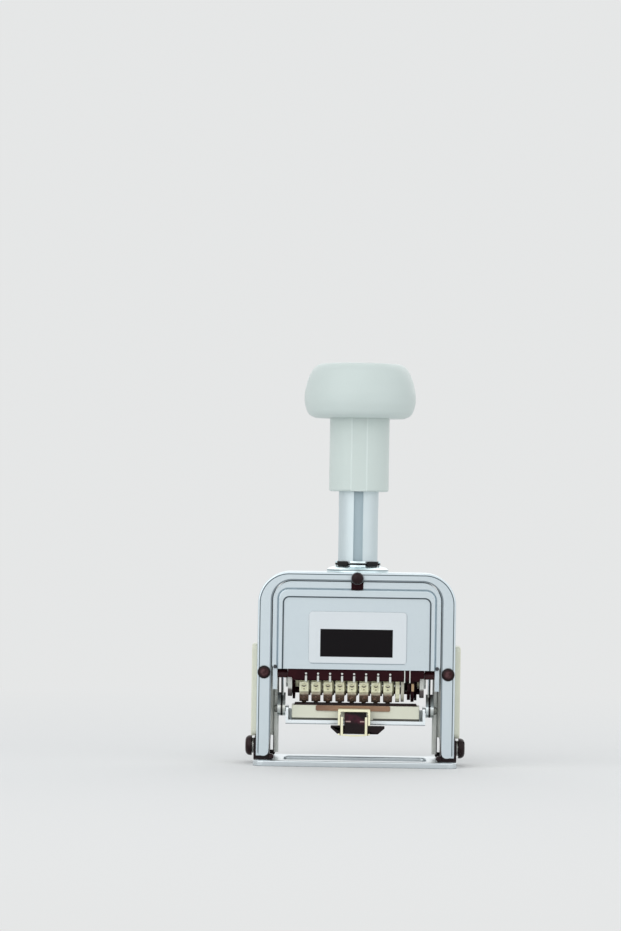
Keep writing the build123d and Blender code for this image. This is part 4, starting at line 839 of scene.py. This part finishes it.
def placeHeads(nodeName, facts):
    low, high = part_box(nodeName)
    outward = "XYZ".index(facts["axis"])
    across = [axis for axis in range(3) if axis != outward]
    pattern = turnedHead(facts)
    made = []
    for end in facts["ends"]:
        seat = (high if end > 0 else low)[outward] - end * facts["height"] * mm
        for spot in headSpots(low, high, facts["radius"] * mm, across):
            head = pattern.copy()
            head.data = pattern.data.copy()
            bpy.context.collection.objects.link(head)
            centre = Vector((0, 0, 0))
            centre[outward] = seat
            for axis, value in zip(across, spot):
                centre[axis] = value
            direction = Vector((0, 0, 0))
            direction[outward] = end
            turn = direction.to_track_quat("Z", "Y").to_matrix().to_4x4()
            if "slot" in facts:
                turn = turn @ Matrix.Rotation(math.radians(headShape["slotTurn"] * len(made)), 4, "Z")
            head.data.transform(Matrix.Translation(centre) @ turn)
            made.append(head)
    bpy.data.objects.remove(pattern)
    piece = joinPieces(made, f"{nodeName}_turned")
    smoothUnder(headShape["smoothUnder"])
    standFor(piece, nodeName)


for nodeName, facts in heads.items():
    placeHeads(nodeName, facts)
print("heads turned:", len(heads))


def makeFigure(number):
    deselectAll()
    bpy.ops.object.text_add(location=(0, 0, 0))
    text = bpy.context.object.data
    text.body = str(number)
    text.align_x = "CENTER"
    text.align_y = "CENTER"
    text.size = figures["size"]
    text.offset = figures["fatten"]
    text.extrude = figures["rise"]
    text.resolution_u = figures["curveSteps"]
    bpy.ops.object.convert(target="MESH")
    return bpy.context.object


def makeFigureRing():
    ring = []
    for number in range(figures["count"]):
        figure = makeFigure(number)
        angle = math.radians(figures["firstAngle"] + 360 / figures["count"] * number)
        out = Vector((0, math.cos(angle), math.sin(angle)))
        # seen from outside, each figure is mirrored, so that it prints the right way round
        across = Vector((1, 0, 0))
        up = Vector((0, -math.sin(angle), math.cos(angle)))
        figure.data.transform(Matrix((
            (across.x, up.x, out.x, 0),
            (across.y, up.y, out.y, figures["face"] * out.y),
            (across.z, up.z, out.z, figures["face"] * out.z + figures["height"]),
            (0, 0, 0, 1),
        )))
        figure.matrix_world = Matrix.Identity(4)
        ring.append(figure)
    joined = joinPieces(ring, "figureRing")
    mergePoints(joined, figures["mergeWithin"], outwards=True)
    return joined


figureRing = makeFigureRing()
for wheel in range(figures["wheels"]):
    ring = figureRing.copy()
    ring.data = figureRing.data.copy()
    ring.name = f"figures_{wheel + 1}"
    bpy.context.collection.objects.link(ring)
    ring.data.transform(Matrix.Translation((figures["start"] + figures["pitch"] * wheel, 0, 0)))
    ring.data.materials.clear()
    ring.data.materials.append(finishes["figureBrass"].material)
    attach(ring, f"wheel_{wheel + 1}")
bpy.data.objects.remove(figureRing)
print("figures placed")


trimSmooth = 40


def softBlock(name, low, high, edge, rounds):
    deselectAll()
    low, high = (Vector([value * mm for value in corner]) for corner in (low, high))
    bpy.ops.mesh.primitive_cube_add(size=1, location=(low + high) / 2)
    piece = bpy.context.object
    piece.name = name
    piece.scale = high - low
    applyPlace(piece)
    soft = piece.modifiers.new("edges", "BEVEL")
    soft.width = edge * mm
    soft.segments = rounds
    bpy.ops.object.modifier_apply(modifier=soft.name)
    smoothUnder(trimSmooth)
    return piece


# a dark block in the notch of the front cover, which stands for the notch's shade: painted shade
notchShadeShape = {"low": (-2.3, -14.5, 67.75), "high": (2.3, -11.6, 70.3), "edge": 0.3, "rounds": 4}
notchShade = softBlock("notchShadeBlock", **notchShadeShape)
notchShade.data.materials.append(finishes["black_steel"].material)
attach(notchShade, "plunger")

# the rubber pads round the stem, on a thin band
padShape = {
    "size": (5.2, 1.15, 1.9), "edge": 0.56, "rounds": 5, "out": 8.45, "middle": 77.6,
    "turns": (41, 135, 225, 317),
    "bandThick": 0.28, "bandOut": 8.08, "bandMiddle": 77.35, "bandSides": 64, "bandRounds": 8,
}
pads = []
padHigh = [side / 2 for side in padShape["size"]]
padLow = [-side for side in padHigh]
for turn in padShape["turns"]:
    pad = softBlock("pad", padLow, padHigh, padShape["edge"], padShape["rounds"])
    away = Matrix.Translation((0, -padShape["out"] * mm, padShape["middle"] * mm))
    pad.data.transform(Matrix.Rotation(math.radians(turn), 4, "Z") @ away)
    pads.append(pad)
deselectAll()
bpy.ops.mesh.primitive_torus_add(
    major_radius=padShape["bandOut"] * mm, minor_radius=padShape["bandThick"] * mm,
    major_segments=padShape["bandSides"], minor_segments=padShape["bandRounds"],
    location=(0, 0, padShape["bandMiddle"] * mm))
ringBand = bpy.context.object
applyPlace(ringBand)
bumperPads = joinPieces([ringBand, *pads], "bumperPads")
smoothUnder(trimSmooth)
standFor(bumperPads, "bumper_ring")
print("trims placed")


# floor and sky, both plain and pale: the floor fades into the sky between its near and far edge, in metres
stageLook = {
    "floor": (0.90, 0.905, 0.905), "reach": 24.0, "sides": 96, "nearEdge": 0.16, "farEdge": 0.6, "rough": 0.9,
    "shine": 0.1, "skyLight": (0.97, 0.985, 1.0, 1.0), "skyStrength": 0.62,
}
bpy.ops.mesh.primitive_circle_add(vertices=stageLook["sides"], radius=stageLook["reach"], fill_type="NGON",
                                  location=(0, 0, 0))
floor = bpy.context.object
floor.name = "floor"


def whereSeen(owner):
    # 1 for what the camera, a gloss or clear glass sees, 0 for the light that falls on things
    rays = owner.node("ShaderNodeLightPath")
    seen = Socket(owner.tree, rays.outputs["Is Camera Ray"])
    for name in ("Is Transmission Ray", "Is Glossy Ray"):
        seen = seen.maths("MAXIMUM", Socket(owner.tree, rays.outputs[name]))
    return seen


floorFinish = Finish("paleFloor")
floorFinish.set(Base_Color=fromScreen(stageLook["floor"]), Roughness=stageLook["rough"],
                Specular_IOR_Level=stageLook["shine"])
radius = floorFinish.node("ShaderNodeVectorMath", {"operation": "LENGTH"}, i0=floorFinish.place).outputs[1]
far = Socket(floorFinish.tree, radius).step(stageLook["nearEdge"], stageLook["farEdge"])
paper = floorFinish.node("ShaderNodeEmission", Color=fromScreen(stageLook["floor"]), Strength=1.0)
blend = floorFinish.node("ShaderNodeMixShader", i0=far * whereSeen(floorFinish),
                         i1=floorFinish.shader.outputs[0], i2=paper.outputs[0])
floorFinish.feed(floorFinish.tree.nodes["Material Output"].inputs[0], blend.outputs[0])
floor.data.materials.append(floorFinish.material)

world = bpy.context.scene.world or bpy.data.worlds.new("studio")
bpy.context.scene.world = world
world.use_nodes = True
sky = Tree(world.node_tree)
sky.tree.nodes.clear()
skyOut = sky.node("ShaderNodeOutputWorld")
paleSky = sky.node("ShaderNodeBackground", Color=fromScreen(stageLook["floor"]))
softSky = sky.node("ShaderNodeBackground", Color=stageLook["skyLight"], Strength=stageLook["skyStrength"])
skyMix = sky.node("ShaderNodeMixShader", i1=softSky.outputs[0], i2=paleSky.outputs[0])
sky.feed(skyMix.inputs[0], whereSeen(sky))
sky.feed(skyOut.inputs[0], skyMix.outputs[0])

# soft square lamps that all look at one point, in metres and watts
lamps = {
    "keyLamp": {"place": (-0.9, -1.2, 1.0), "size": 2.2, "power": 14.0},
    "fillLamp": {"place": (1.1, -1.1, 0.8), "size": 2.2, "power": 7.2},
    "backLamp": {"place": (0.2, 1.2, 1.1), "size": 2.2, "power": 8.0},
}
lampAim = Vector((0, 0, 0.07))
for lampName, facts in lamps.items():
    bpy.ops.object.light_add(type="AREA", location=facts["place"])
    lamp = bpy.context.object
    lamp.name = lampName
    lamp.data.shape = "SQUARE"
    lamp.data.size = facts["size"]
    lamp.data.energy = facts["power"]
    lamp.rotation_euler = (lampAim - Vector(facts["place"])).to_track_quat("-Z", "Y").to_euler()

# the camera stands level in front, and is turned until the stem's axis meets one column and row of the frame
cameraFacts = {
    "distance": 1.5, "height": 0.097, "sensor": 36, "near": 0.05, "frameHigh": 931, "frameWide": 621,
    "pixel": 0.3876 * mm, "axisColumn": 359.2, "axisRow": 512.8, "roll": 0.88,
}


def turnTo(place, across):
    return math.atan((place - across / 2) * cameraFacts["pixel"] / cameraFacts["distance"])


bpy.ops.object.camera_add(location=(0, -cameraFacts["distance"], cameraFacts["height"]))
camera = bpy.context.object
frameReach = cameraFacts["frameHigh"] * cameraFacts["pixel"]
camera.data.sensor_width = cameraFacts["sensor"]
camera.data.lens = cameraFacts["sensor"] * cameraFacts["distance"] / frameReach
camera.data.clip_start = cameraFacts["near"]
pan = turnTo(cameraFacts["axisColumn"], cameraFacts["frameWide"])
tilt = turnTo(cameraFacts["axisRow"], cameraFacts["frameHigh"])
aimed = Euler((math.radians(90) + tilt, 0, pan), "XYZ").to_matrix()
camera.rotation_euler = (aimed @ Matrix.Rotation(math.radians(cameraFacts["roll"]), 3, "Z")).to_euler()
bpy.context.scene.camera = camera

bpy.context.scene.view_settings.view_transform = "Standard"
bpy.context.view_layer.update()
print("stage set")
